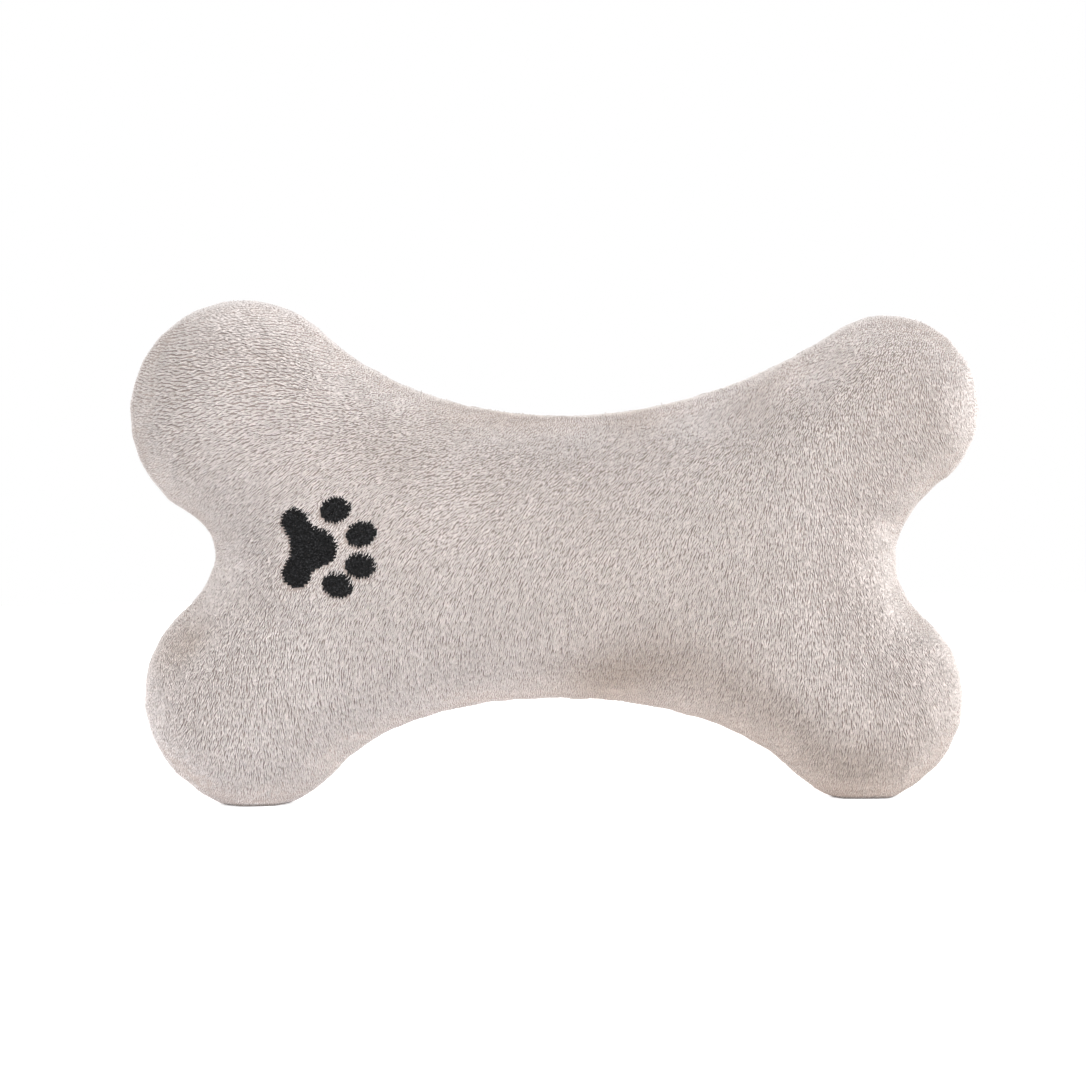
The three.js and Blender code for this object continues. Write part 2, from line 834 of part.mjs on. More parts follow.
squeaker.add(
  solidPiece("squeaker_bulb", bulbSolid(), softPlastic),
  solidPiece("whistle_sleeve", sleeveSolid(), hardPlastic),
  solidPiece("reed_block", blockSolid(), hardPlastic),
  solidPiece("reed_clamp", clampSolid(), hardPlastic),
  solidPiece("reed", reedSolid(), springFilm),
);

const toy = new THREE.Group();
toy.add(cover(), filling(), squeaker);

export default toy;
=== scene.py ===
"""A plush bone dog toy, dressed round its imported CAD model, with a studio stage."""

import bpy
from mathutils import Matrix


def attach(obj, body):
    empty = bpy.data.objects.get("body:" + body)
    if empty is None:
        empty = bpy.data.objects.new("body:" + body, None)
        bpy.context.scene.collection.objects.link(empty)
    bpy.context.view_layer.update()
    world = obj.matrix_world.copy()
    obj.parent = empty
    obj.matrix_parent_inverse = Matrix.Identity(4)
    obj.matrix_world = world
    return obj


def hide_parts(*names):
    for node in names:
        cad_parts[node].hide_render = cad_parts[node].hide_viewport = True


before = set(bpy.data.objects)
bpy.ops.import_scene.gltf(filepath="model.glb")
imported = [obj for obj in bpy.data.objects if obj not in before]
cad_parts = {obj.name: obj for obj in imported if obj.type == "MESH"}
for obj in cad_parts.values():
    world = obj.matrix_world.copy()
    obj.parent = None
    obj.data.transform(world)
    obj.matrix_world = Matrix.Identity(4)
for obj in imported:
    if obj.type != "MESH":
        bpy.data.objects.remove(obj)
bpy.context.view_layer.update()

import copy
import math
from functools import cache

import bpy
import numpy as np
from mathutils import Euler, Matrix, Vector, bvhtree, geometry, kdtree, noise

bl_info = {
    "name": "Plush Bone Toy",
    "version": (1, 0, 0),
    "blender": (4, 5, 0),
    "location": "View3D > Sidebar > Plush Bone",
    "description": "Makes the plush, embroidery and filling of a bone-shaped dog toy",
    "category": "Add Mesh",
}

MM = 0.001
PHOTO_PIXELS = 1086

# What a lobe of an outline has: its radius, its centre in X and Z, the angle at which the outline
# meets it and the handle share of its curve there, and the same where the outline leaves it
LOBE_FIELDS = ("radius", "x", "z", "meets", "meet_share", "leaves", "leave_share")
# The four knobs, clockwise from the upper left
KNOBS = [dict(zip(LOBE_FIELDS, row)) for row in (
    (26.9, -73.1, 92.1, 240, 0.26, 45.5, 0.288),
    (21.8, 78.2, 91.8, 123, 0.43, -54, 0.297),
    (24.0, 71.6, 23.5, 48, 0.616, -135.5, 0.303),
    (26.3, -71.3, 25.8, -41.5, 0.27, -228.5, 0.78),
)]
# The embroidered pad of the paw
PAD_LOBES = [dict(zip(LOBE_FIELDS, row)) for row in (
    (3.25, -60.1, 67.7, 215, 0.42, 10, 0.35),
    (4.4, -55, 61.65, 75, 0.35, -75, 0.35),
    (3.25, -60.1, 55.6, -10, 0.35, -215, 0.42),
)]
# The toes: the half axes of them all, and each one's centre in X and Z and its tilt
TOE_LONG, TOE_SHORT = 3.6, 2.8
TOES = {
    "paw_toe_1": (-50.76, 70.34, 16),
    "paw_toe_2": (-44.86, 64.73, 20),
    "paw_toe_3": (-45.18, 57.46, -5),
    "paw_toe_4": (-50.55, 52.95, -18),
}

# How the pile of the front lies: at X and Z, the angle its locks point to, and how clearly its
# knit rows show
BRUSHING = (
    (-84, 112, 187, 0.84), (-70, 112, 179, 0.84), (-58, 110, 172, 0.67), (-97, 103, 205, 0.84),
    (-84, 103, 188, 0.84), (-70, 103, 184, 0.84), (-56, 101, 170, 0.59), (60, 104, 215, 0.5),
    (76, 106, 215, 0.4), (92, 104, 265, 0.3), (-96, 94, 198, 0.84), (-82, 94, 190, 0.84),
    (-68, 94, 186, 0.76), (-54, 94, 178, 0.35), (-42, 90, 200, 0.3), (60, 94, 238, 0.2),
    (72, 94, 258, 0.7), (84, 94, 262, 0.5), (94, 92, 278, 0), (-96, 85, 206, 0.3),
    (-82, 85, 214, 0.15), (-66, 85, 218, 0.1), (-50, 85, 220, 0.1), (-34, 86, 205, 0.2),
    (-20, 84, 220, 0.2), (-4, 84, 232, 0), (10, 84, 247, 0), (24, 84, 220, 0.1), (36, 84, 226, 0),
    (46, 84, 248, 0), (58, 84, 271, 0), (70, 84, 290, 0.5), (82, 84, 300, 0.7), (92, 84, 282, 0),
    (-84, 76, 233, 0.2), (-66, 74, 228, 0.1), (-48, 76, 222, 0.2), (-34, 75, 212, 0.3),
    (-22, 75, 205, 0.9), (-10, 75, 238, 0.3), (4, 75, 228, 0.1), (16, 75, 243, 0), (30, 75, 250, 0),
    (46, 75, 263, 0), (60, 75, 268, 0), (72, 75, 280, 0), (82, 76, 272, 0), (-74, 66, 225, 0),
    (-54, 66, 232, 0), (-36, 66, 241, 0), (-24, 66, 215, 0.8), (-10, 66, 240, 0.1),
    (2, 66, 246, 0.1), (11, 64, 222, 0.8), (24, 66, 240, 0), (38, 66, 249, 0), (54, 66, 255, 0),
    (68, 66, 273, 0), (-74, 56, 255, 0), (-60, 57, 255, 0), (-36, 57, 238, 0), (-20, 57, 240, 0),
    (-4, 57, 250, 0), (10, 56, 238, 0.3), (24, 57, 256, 0), (42, 57, 250, 0), (56, 57, 257, 0),
    (70, 57, 276, 0), (-84, 47, 235, 0), (-72, 47, 264, 0), (-48, 47, 235, 0), (-36, 47, 247, 0),
    (-22, 47, 244, 0), (-4, 47, 254, 0), (14, 47, 247, 0), (32, 47, 250, 0), (48, 47, 260, 0),
    (62, 47, 264, 0), (74, 47, 276, 0), (-84, 38, 257, 0), (-66, 38, 270, 0), (-44, 38, 261, 0),
    (-20, 38, 259, 0), (4, 38, 255, 0), (26, 38, 250, 0), (46, 38, 268, 0), (66, 38, 266, 0),
    (82, 38, 283, 0), (-94, 28, 262, 0), (-72, 28, 271, 0), (-48, 28, 263, 0), (-26, 28, 262, 0),
    (40, 28, 245, 0), (58, 28, 262, 0), (72, 28, 279, 0), (92, 28, 288, 0), (-84, 17, 262, 0),
    (-66, 17, 276, 0), (-50, 18, 268, 0), (52, 18, 264, 0), (68, 18, 270, 0), (88, 18, 277, 0),
    (-80, 8, 256, 0), (-62, 8, 266, 0), (60, 8, 255, 0), (76, 8, 250, 0),
)
BRUSH_REACH = 8.5
# The back isn't seen: its pile lies about one way, swaying along its length
BACK_HEADING = 265.0
BACK_SWAY = 18
BACK_SWAY_LENGTH = 20
BACK_ROWS = 0.35

# How the knit rows climb: their slope at X
ROW_SLOPES = (
    (-105, 0.24), (-98, 0.21), (-75, 0.09), (-50, -0.02), (-30, 0.08), (0, 0.05), (60, 0.03), (105, 0.0),
)

SKIN_NODES = {-1: "front_panel", 1: "back_panel"}
SIDE_NAMES = {-1: "front", 1: "back"}


class PlushBoneSizes(bpy.types.PropertyGroup):
    """Sizes and colours of the plush bone."""

    shaft_thickness: bpy.props.FloatProperty(
        name="Shaft thickness", description="Stuffed thickness in the middle",
        default=0.059, unit="LENGTH",
    )
    knob_thickness: bpy.props.FloatProperty(
        name="Knob thickness", description="Stuffed thickness of the knobs",
        default=0.046, unit="LENGTH",
    )
    plush_thickness: bpy.props.FloatProperty(
        name="Plush thickness", description="Thickness of the plush with its pile",
        default=0.0022, unit="LENGTH",
    )
    pile_height: bpy.props.FloatProperty(
        name="Pile height", description="How far the brushed pile stands off its ground cloth",
        default=0.0007, unit="LENGTH",
    )
    allowance: bpy.props.FloatProperty(
        name="Seam allowance", description="Width of the turned-in edge",
        default=0.006, unit="LENGTH",
    )
    lock_length: bpy.props.FloatProperty(
        name="Lock length", description="Length of one lock of pile",
        default=0.0018, unit="LENGTH",
    )
    lock_width: bpy.props.FloatProperty(
        name="Lock width", description="Width of one lock of pile",
        default=0.00028, unit="LENGTH",
    )
    lock_spacing: bpy.props.FloatProperty(
        name="Lock spacing", description="Least distance between the roots of two locks",
        default=0.00036, unit="LENGTH",
    )
    row_pitch: bpy.props.FloatProperty(
        name="Row pitch", description="Distance between two knit rows",
        default=0.00105, unit="LENGTH",
    )
    plush_colour: bpy.props.FloatVectorProperty(
        name="Plush colour", description="Colour of the pile",
        default=(0.7, 0.636, 0.612), size=3, subtype="COLOR", min=0.0, max=1.0,
    )
    paw_colour: bpy.props.FloatVectorProperty(
        name="Paw colour", description="Colour of the embroidery thread",
        default=(0.005, 0.005, 0.0053), size=3, subtype="COLOR", min=0.0, max=1.0,
    )
    camera_distance: bpy.props.FloatProperty(
        name="Camera distance", description="From the camera to the seam plane",
        default=1.3, unit="LENGTH",
    )
    camera_height: bpy.props.FloatProperty(
        name="Camera height", description="Angle of the camera above the horizon",
        default=math.radians(2.5), subtype="ANGLE", unit="ROTATION",
    )


def sizes():
    return bpy.context.scene.plush_bone


# The outline

CURVE_STEPS = 90
# How many points are worked on at a time
PART = 2000
# A length that stands for none, and a weight that stands for none
NO_LENGTH = 1e-12
NO_WEIGHT = 1e-9


def unit(vectors):
    """The rows of an array, each at a length of one."""
    return vectors / np.maximum(np.linalg.norm(vectors, axis=1, keepdims=True), NO_LENGTH)


def lobe_points(lobe, angles):
    turns = np.radians(angles)
    centre = np.array([lobe["x"], lobe["z"]])
    return centre + lobe["radius"] * np.column_stack([np.cos(turns), np.sin(turns)])


def clockwise_from(angle):
    turn = math.radians(angle)
    return np.array([math.sin(turn), -math.cos(turn)])


def even_points(points, count):
    """A closed line's points, evenly spaced along it."""
    closed = np.vstack([points, points[:1]])
    along = np.concatenate([[0.0], np.cumsum(np.linalg.norm(np.diff(closed, axis=0), axis=1))])
    wanted = np.linspace(0.0, along[-1], count, endpoint=False)
    return np.column_stack([np.interp(wanted, along, closed[:, k]) for k in range(2)])


def outline_of(lobes, count):
    """A closed outline round lobes, clockwise, in metres."""
    parts = []
    for k, lobe in enumerate(lobes):
        following = lobes[(k + 1) % len(lobes)]
        parts.append(lobe_points(lobe, np.linspace(lobe["meets"], lobe["leaves"], CURVE_STEPS)))
        start = lobe_points(lobe, [lobe["leaves"]])[0]
        end = lobe_points(following, [following["meets"]])[0]
        span = np.linalg.norm(end - start)
        first = start + clockwise_from(lobe["leaves"]) * lobe["leave_share"] * span
        second = end - clockwise_from(following["meets"]) * following["meet_share"] * span
        t = np.linspace(0.0, 1.0, CURVE_STEPS)[1:-1, None]
        parts.append(
            (1 - t) ** 3 * start + 3 * t * (1 - t) ** 2 * first + 3 * t**2 * (1 - t) * second + t**3 * end
        )
    return even_points(np.vstack(parts), count) * MM


def outward_of(outline):
    step = np.roll(outline, -1, axis=0) - np.roll(outline, 1, axis=0)
    return unit(np.column_stack([-step[:, 1], step[:, 0]]))


def in_parts(work, points):
    """The work's results for all points, some of them at a time to spare memory."""
    return np.concatenate([work(points[k : k + PART]) for k in range(0, len(points), PART)])


def nearest_on(outline, points):
    """The nearest outline point of each point, and the signed distance, positive inside."""

    def nearest_of(part):
        return ((part[:, None, :] - outline[None, :, :]) ** 2).sum(axis=2).argmin(axis=1)

    nearest = in_parts(nearest_of, points)
    depth = -((points - outline[nearest]) * outward_of(outline)[nearest]).sum(axis=1)
    return nearest, depth


def roominess(outline, points):
    """How roomy the panel is at each point, from the whole of its outline."""
    following = np.roll(outline, -1, axis=0)

    def room_of(part):
        a, b = outline[None] - part[:, None, :], following[None] - part[:, None, :]
        across = np.maximum(np.abs(a[..., 0] * b[..., 1] - a[..., 1] * b[..., 0]), NO_LENGTH)
        angle = np.arctan2(across, (a * b).sum(axis=2))
        reach = np.linalg.norm(a - b, axis=2)
        return math.pi / (angle * reach / across).sum(axis=1)

    return in_parts(room_of, points)


# Meshes


def new_mesh(name, points, faces):
    mesh = bpy.data.meshes.new(name)
    mesh.from_pydata([tuple(p) for p in points], [], [tuple(int(v) for v in f) for f in faces])
    mesh.validate()
    mesh.shade_smooth()
    return mesh


def new_piece(name, mesh, material=None):
    piece = bpy.data.objects.new(name, mesh)
    bpy.context.scene.collection.objects.link(piece)
    if material:
        mesh.materials.clear()
        mesh.materials.append(material)
    return piece


def read_rows(items, field, width, kind=np.float32):
    """A field of all of a mesh's points, edges or corners, in rows."""
    values = np.empty(width * len(items), kind)
    items.foreach_get(field, values)
    return values.reshape(-1, width)


def mesh_points(mesh):
    return read_rows(mesh.vertices, "co", 3).astype(float)


def add_attribute(mesh, name, values):
    kind, field = ("FLOAT_VECTOR", "vector") if values.ndim > 1 else ("FLOAT", "value")
    layer = mesh.attributes.new(name, kind, "POINT")
    layer.data.foreach_set(field, values.astype(np.float32).ravel())


def evaluated_mesh(piece):
    """What the piece's modifiers make of it, which then come off."""
    graph = bpy.context.evaluated_depsgraph_get()
    mesh = bpy.data.meshes.new_from_object(piece.evaluated_get(graph), depsgraph=graph)
    piece.modifiers.clear()
    return mesh


def even_cells(piece, size):
    """The piece's mesh made anew of even cells."""
    even = piece.modifiers.new("even_cells", "REMESH")
    even.mode = "VOXEL"
    even.voxel_size = size
    return evaluated_mesh(piece)


def spans(points, triangles):
    """The direction each triangle faces, as long as twice its area."""
    corners = points[triangles]
    return np.cross(corners[:, 1] - corners[:, 0], corners[:, 2] - corners[:, 0])


def vertex_normals(points, triangles):
    across = spans(points, triangles)
    normals = np.zeros_like(points)
    for k in range(3):
        np.add.at(normals, triangles[:, k], across)
    return unit(normals)


def relaxed(values, edges, rounds):
    """Values on mesh points, averaged with their neighbours' some rounds over."""
    counts = np.bincount(edges.ravel(), minlength=len(values)).astype(float)
    for _ in range(rounds):
        sums = np.zeros_like(values)
        np.add.at(sums, edges[:, 0], values[edges[:, 1]])
        np.add.at(sums, edges[:, 1], values[edges[:, 0]])
        values = (values + sums / np.maximum(counts, 1.0)) / 2
    return values


def strip(first, second):
    """Triangles between two rings of vertex numbers."""
    following, beyond = np.roll(first, -1), np.roll(second, -1)
    return np.vstack([
        np.column_stack([first, following, second]),
        np.column_stack([following, beyond, second]),
    ])


# The stuffed form

EDGE_COUNT = 360
RING_INSETS = (0.12, 0.4, 0.9, 1.6, 2.6, 3.9)
LATTICE_PITCH = 1.6
# How far inside the last ring the lattice starts, in pitches
LATTICE_START = 0.7
# The corners of the field in which the lattice is finer, and its pitch there
PAW_LOW, PAW_HIGH = np.array((-67.0, 46.0)) * MM, np.array((-38.5, 77.0)) * MM
PAW_LATTICE_PITCH = 0.5
# How near, in millimetres, two points would be taken for one
MEETING_DISTANCE = 1e-5
# The power of its room that a place's half thickness follows
SWELL_SHARE = 0.54


def smooth_step(share):
    share = np.clip(share, 0.0, 1.0)
    return share * share * (3 - 2 * share)


class Face:
    """One panel's outer face: its points as they lie flat, with the nearest point of the outline and
    the inset of each, and its points, triangles and normals when it is stuffed."""


def staggered(low, high, pitch, rise):
    """A lattice of points over a rectangle, every other row of it moved by half a pitch."""
    xs, zs = np.arange(low[0], high[0], pitch), np.arange(low[1], high[1], rise)
    return np.array([(x + (k % 2) * pitch / 2, z) for k, z in enumerate(zs) for x in xs])


def flat_face(outline):
    """Rings along the outline and a lattice inside them, joined by triangles."""
    outward = outward_of(outline)
    rings = [outline] + [outline - outward * inset * MM for inset in RING_INSETS]
    pitch, fine_pitch = LATTICE_PITCH * MM, PAW_LATTICE_PITCH * MM
    coarse = staggered(outline.min(axis=0), outline.max(axis=0), pitch, pitch * math.sqrt(3) / 2)
    _, depth = nearest_on(outline, coarse)
    inside = coarse[depth > (RING_INSETS[-1] + LATTICE_PITCH * LATTICE_START) * MM]
    by_paw = ((inside > PAW_LOW - pitch / 2) & (inside < PAW_HIGH + pitch / 2)).all(axis=1)
    points = np.vstack([*rings, inside[~by_paw], staggered(PAW_LOW, PAW_HIGH, fine_pitch, fine_pitch)])
    count = len(outline)
    loop = [(k, (k + 1) % count) for k in range(count)]
    made = geometry.delaunay_2d_cdt([Vector(p / MM) for p in points], loop, [], 1, MEETING_DISTANCE, True)
    number = np.array([ids[0] for ids in made[3]])
    if len(number) != len(points):
        raise RuntimeError("the panel's points met each other")
    triangles = number[np.array([list(face) for face in made[2]])]
    triangles = triangles[(triangles >= count).any(axis=1)]
    turned = spans(points, triangles) < 0
    triangles[turned] = triangles[turned][:, ::-1]
    return points, triangles


@cache
def panel_outline():
    return outline_of(KNOBS, EDGE_COUNT)


# Where the cover is drawn in: at X and Z, reach along and across, turn, and depth
DENTS = (
    (-21, 90.4, 12.4, 4.8, -12, 1.05),
    (4, 89, 11, 4.4, 4, 1.35),
    (28, 90, 10, 4.4, 8, 1.5),
    (59.2, 100, 8.4, 4, 78, 1.5),
    (12.6, 28, 12.4, 5.4, 4, 1.35),
    (-26, 24.4, 10, 4.4, 24, 0.9),
    (-87, 40, 10, 4, 42, 1.5),
    (56, 14, 9, 4, -48, 1.2),
    (-54, 12.4, 8, 4, 52, 1.05),
)
# How far from the seam they start
DENT_START = 0.002

# Where the pile is pressed flat and greyer, in the same way, and how much. The greyer, warmer colour is
# painted shade: in the dents, and in broad patches along the lower arch and the lower right knob
PRESSED_AND_SHADED = (
    (-25, 92.5, 7, 2.5, -14, 0.3), (-8, 91, 9, 3, -4, 0.6), (19, 90.5, 7, 3.5, 12, 0.65),
    (49, 97, 10, 3.5, 36, 0.4), (12.6, 29, 11, 7, 4, 1.1), (46, 22, 34, 9, -38, 0.5),
    (24, 34, 16, 8, -14, 0.4), (71, 9, 12, 8, 0, 0.5), (-87, 40, 8, 3.5, 42, 0.8),
)


def spots_at(spots, flat):
    """What the spots add up to at each flat point."""
    total = np.zeros(len(flat))
    for at_x, at_z, reach_along, reach_across, turn, amount in spots:
        offset = flat / MM - (at_x, at_z)
        c, s = math.cos(math.radians(turn)), math.sin(math.radians(turn))
        along, across = offset[:, 0] * c + offset[:, 1] * s, offset[:, 1] * c - offset[:, 0] * s
        total += amount * np.exp(-((along / reach_along) ** 2) - (across / reach_across) ** 2)
    return total


def drawn_in(flat):
    """How far the dents draw the cover in at each flat point."""
    return spots_at(DENTS, flat) * MM


def swelling(outline, flat):
    """The stuffed half thickness over each flat point."""
    knob_spots = np.array([(knob["x"], knob["z"]) for knob in KNOBS]) * MM
    middle = np.array([[0.0, outline[:, 1].mean()]])
    towards_knob = smooth_step(np.abs(flat[:, 0]) / np.abs(knob_spots[:, 0]).mean())
    crown = sizes().shaft_thickness + (sizes().knob_thickness - sizes().shaft_thickness) * towards_knob
    shaft_room = roominess(outline, middle)[0]
    room = shaft_room + (roominess(outline, knob_spots).mean() - shaft_room) * towards_knob
    return crown / 2 * (roominess(outline, flat) / room) ** SWELL_SHARE


def face_normals(face):
    """The face's outward directions, which lie in the seam plane along its edge."""
    normals = vertex_normals(face.points, face.triangles)
    outward = outward_of(panel_outline())
    normals[: len(outward)] = np.column_stack([outward[:, 0], np.zeros(len(outward)), outward[:, 1]])
    return normals


@cache
def smooth_face(side):
    """The stuffed panel's outer face, before its cloth gathers along the seam."""
    outline = panel_outline()
    flat, triangles = flat_face(outline)
    face = Face()
    face.flat = flat
    face.nearest, face.inset = nearest_on(outline, flat)
    rise = swelling(outline, flat) - drawn_in(flat) * smooth_step(face.inset / DENT_START)
    rise[: len(outline)] = 0.0
    face.triangles = triangles if side < 0 else triangles[:, ::-1]
    face.points = np.column_stack([flat[:, 0], side * rise, flat[:, 1]])
    face.normals = face_normals(face)
    return face


# The simulated cloth: its cells, the steps it settles in, how far it is stuffed and how stiff it
# is, how much longer than the form it is, the rounds that part its folds from its shape, and the
# most that a fold stands off
CLOTH_CELL = 0.004
CLOTH_FRAMES = 20
CLOTH_PRESSURE = 4.0
CLOTH_STIFFNESS = 0.2
CLOTH_SPARE = -0.05
CLOTH_SMOOTHINGS = 12
CLOTH_CAP = 0.0016
# How near the seam plane a cell's corner is sewn, in cells
SEWN_SHARE = 0.6
# How many of the cloth's points a fold is read from
NEIGHBOURS = 6
# The stuffing pulls the cloth tight away from its seam, where less of its folds is left
FOLD_FLOOR = 0.25
FOLD_REACH = 0.013
FOLD_START = 0.009


@cache
def gathers():
    """Simulates the stuffed cover as cloth held at its seam. Gives points of the form and how far
    the cloth's small folds stand off it there."""
    front, back = smooth_face(-1), smooth_face(1)
    inner = np.arange(len(back.points) - EDGE_COUNT) + len(front.points)
    numbers = np.concatenate([np.arange(EDGE_COUNT), inner])
    points = np.vstack([front.points, back.points[EDGE_COUNT:]])
    triangles = np.vstack([front.triangles, numbers[back.triangles]])
    form = new_piece("stuffed_form", new_mesh("stuffed_form", points, triangles))
    coarse = even_cells(form, CLOTH_CELL)
    form.data = coarse
    before = mesh_points(coarse)
    seam = form.vertex_groups.new(name="seam")
    sewn = np.flatnonzero(np.abs(before[:, 1]) < CLOTH_CELL * SEWN_SHARE)
    seam.add(sewn.tolist(), 1.0, "REPLACE")
    cloth = form.modifiers.new("stuffing", "CLOTH")
    cloth.settings.use_pressure = True
    cloth.settings.uniform_pressure_force = CLOTH_PRESSURE
    cloth.settings.effector_weights.gravity = 0.0
    cloth.settings.vertex_group_mass = "seam"
    cloth.settings.shrink_min = CLOTH_SPARE
    cloth.settings.bending_stiffness = CLOTH_STIFFNESS
    cloth.point_cache.frame_end = CLOTH_FRAMES
    for step in range(1, CLOTH_FRAMES + 1):
        bpy.context.scene.frame_set(step)
    settled = evaluated_mesh(form)
    bpy.context.scene.frame_set(1)
    normals = read_rows(coarse.vertices, "normal", 3)
    edges = read_rows(coarse.edges, "vertices", 2, np.int32)
    moved = ((mesh_points(settled) - before) * normals).sum(axis=1)
    folds = moved - relaxed(moved, edges, CLOTH_SMOOTHINGS)
    bpy.data.objects.remove(form)
    for mesh in (coarse, settled):
        bpy.data.meshes.remove(mesh)
    return before, np.clip(folds, -CLOTH_CAP, CLOTH_CAP)


def folds_at(points):
    """The cloth's small folds at points of the form."""
    spots, folds = gathers()
    tree = kdtree.KDTree(len(spots))
    for k, spot in enumerate(spots):
        tree.insert(spot, k)
    tree.balance()
    found = np.empty(len(points))
    for k, point in enumerate(points):
        near = tree.find_n(point, NEIGHBOURS)
        weights = [math.exp(-((gap / CLOTH_CELL) ** 2)) + NO_WEIGHT for _, _, gap in near]
        found[k] = sum(w * folds[n] for w, (_, n, _) in zip(weights, near)) / sum(weights)
    return found


# Puckers and the seam's groove, in millimetres
PUCKER_PITCHES = (6.1, 8.7, 13.3)
PUCKER_SHIFT = 1.7
PUCKER_DEPTH = 0.13
PUCKER_START = 1.5
PUCKER_REACH = 6.0
SEAM_GROOVE = 0.25
SEAM_REACH = 1.3


def sculpted(face, side):
    """How far the face is drawn in at each point: puckers run in from the seam, and a groove
    follows it."""
    along = face.nearest * (np.linalg.norm(np.diff(panel_outline(), axis=0), axis=1).mean() / MM)
    turns = [2 * math.pi * along / pitch + PUCKER_SHIFT * k + side for k, pitch in enumerate(PUCKER_PITCHES)]
    waves = sum(np.sin(turn) for turn in turns)
    reach = np.abs(face.points[:, 1]) / MM
    drawn = PUCKER_DEPTH * waves * np.exp(-reach / PUCKER_REACH) * (1 - np.exp(-reach / PUCKER_START))
    drawn += SEAM_GROOVE * np.exp(-((reach / SEAM_REACH) ** 2))
    return drawn * MM


@cache
def panel_face(side):
    """The stuffed panel's outer face with its folds: the pile's tips reach it."""
    face = smooth_face(side)
    tight = FOLD_FLOOR + (1 - FOLD_FLOOR) * np.exp(-((face.inset / FOLD_REACH) ** 2))
    tight *= smooth_step(np.abs(face.points[:, 1]) / FOLD_START)
    shift = folds_at(face.points) * tight - sculpted(face, side)
    done = copy.copy(face)
    done.points = face.points + face.normals * shift[:, None]
    done.normals = face_normals(done)
    return done


# The feet give a little under the toy's weight
SETTLE_DEPTH = 0.0009
SETTLE_REACH = 0.003
# The gap between each panel and the seam plane
SEAM_GAP = 0.15 * MM


def sunken(face, depth, side):
    """The face moved in by a depth and a little off the seam plane, and kept off the floor."""
    points = face.points - face.normals * depth
    points[:, 1] += side * SEAM_GAP
    points[:, 2] -= SETTLE_DEPTH * np.exp(-((points[:, 2] / SETTLE_REACH) ** 2))
    points[:, 2] = np.maximum(points[:, 2], 0.0)
    return points


def from_seam(start, face, reach):
    """A share that grows from its start at the seam to one, some reach inside it."""
    return start + (1 - start) * smooth_step(face.inset / (reach * MM))


# Node trees


class Nodes:
    """Makes and links the nodes of one tree."""

    def __init__(self, tree):
        self.tree = tree

    def add(self, kind, inputs=None, **settings):
        node = self.tree.nodes.new(kind)
        for key, value in settings.items():
            setattr(node, key, value)
        return self.fill(node, inputs or {})

    def fill(self, node, inputs):
        for key, value in inputs.items():
            socket = node.inputs[key]
            if isinstance(value, bpy.types.Node):
                value = next(o for o in value.outputs if o.enabled)
            if isinstance(value, bpy.types.NodeSocket):
                self.tree.links.new(value, socket)
            else:
                socket.default_value = value
        return node

    def maths(self, operation, *values):
        return self.add("ShaderNodeMath", dict(enumerate(values)), operation=operation).outputs[0]

    def vector_maths(self, operation, *values):
        return self.add("ShaderNodeVectorMath", dict(enumerate(values)), operation=operation).outputs[0]

    def scaled(self, vector, share):
        return self.add("ShaderNodeVectorMath", {0: vector, "Scale": share}, operation="SCALE").outputs[0]

    def xyz(self, x, y, z):
        return self.add("ShaderNodeCombineXYZ", {"X": x, "Y": y, "Z": z})

    def mix_colour(self, share, first, second, blend="MIX"):
        inputs = {0: share, 6: first, 7: second}
        return self.add("ShaderNodeMix", inputs, data_type="RGBA", blend_type=blend).outputs[2]

    def product(self, first, *others):
        for other in others:
            first = self.mix_colour(1.0, first, other, "MULTIPLY")
        return first

    def ramp(self, value, low, high, start=0.0, end=1.0):
        inputs = {"Value": value, "From Min": low, "From Max": high, "To Min": start, "To Max": end}
        return self.add("ShaderNodeMapRange", inputs).outputs[0]

    def clouds(self, place, scale, detail, output="Fac", **inputs):
        inputs = {"Vector": place, "Scale": scale, "Detail": detail, **inputs}
        return self.add("ShaderNodeTexNoise", inputs).outputs[output]

    def bump(self, height, strength, distance):
        return self.add("ShaderNodeBump", {"Height": height, "Strength": strength, "Distance": distance})

    def painted(self, name):
        """A mesh attribute in a material."""
        return self.add("ShaderNodeAttribute", attribute_name=name).outputs["Fac"]

    def stored(self, name, kind="FLOAT"):
        """A mesh attribute in geometry nodes."""
        return self.add("GeometryNodeInputNamedAttribute", {"Name": name}, data_type=kind).outputs[0]

    def place(self):
        """The piece's own coordinates in a material."""
        return self.add("ShaderNodeTexCoord").outputs["Object"]

    def seen_plainly(self):
        """One where the camera sees a surface by itself, or in metal or glass."""
        path = self.add("ShaderNodeLightPath").outputs
        seen = self.maths("MAXIMUM", path["Is Glossy Ray"], path["Is Transmission Ray"])
        return self.maths("MAXIMUM", path["Is Camera Ray"], seen)


def new_tree(name, inputs):
    """A geometry nodes tree with named inputs: the tree, its nodes and what it is given."""
    tree = bpy.data.node_groups.new(name, "GeometryNodeTree")
    for way in ("OUTPUT", "INPUT"):
        tree.interface.new_socket("Geometry", in_out=way, socket_type="NodeSocketGeometry")
    for socket, kind in inputs.items():
        tree.interface.new_socket(socket, in_out="INPUT", socket_type="NodeSocket" + kind)
    nodes = Nodes(tree)
    return tree, nodes, nodes.add("NodeGroupInput").outputs


def lay_copies(nodes, points, template, heading, up, scale):
    """Real copies of an object, one on each point, turned along a heading and stretched."""
    turn = nodes.add(
        "FunctionNodeAxesToRotation", {"Primary Axis": heading, "Secondary Axis": up},
        primary_axis="X", secondary_axis="Z",
    )
    shape = nodes.add("GeometryNodeObjectInfo", {"Object": template}).outputs["Geometry"]
    laid = nodes.add(
        "GeometryNodeInstanceOnPoints",
        {"Points": points, "Instance": shape, "Rotation": turn, "Scale": scale},
    )
    return nodes.add("GeometryNodeRealizeInstances", {"Geometry": laid})


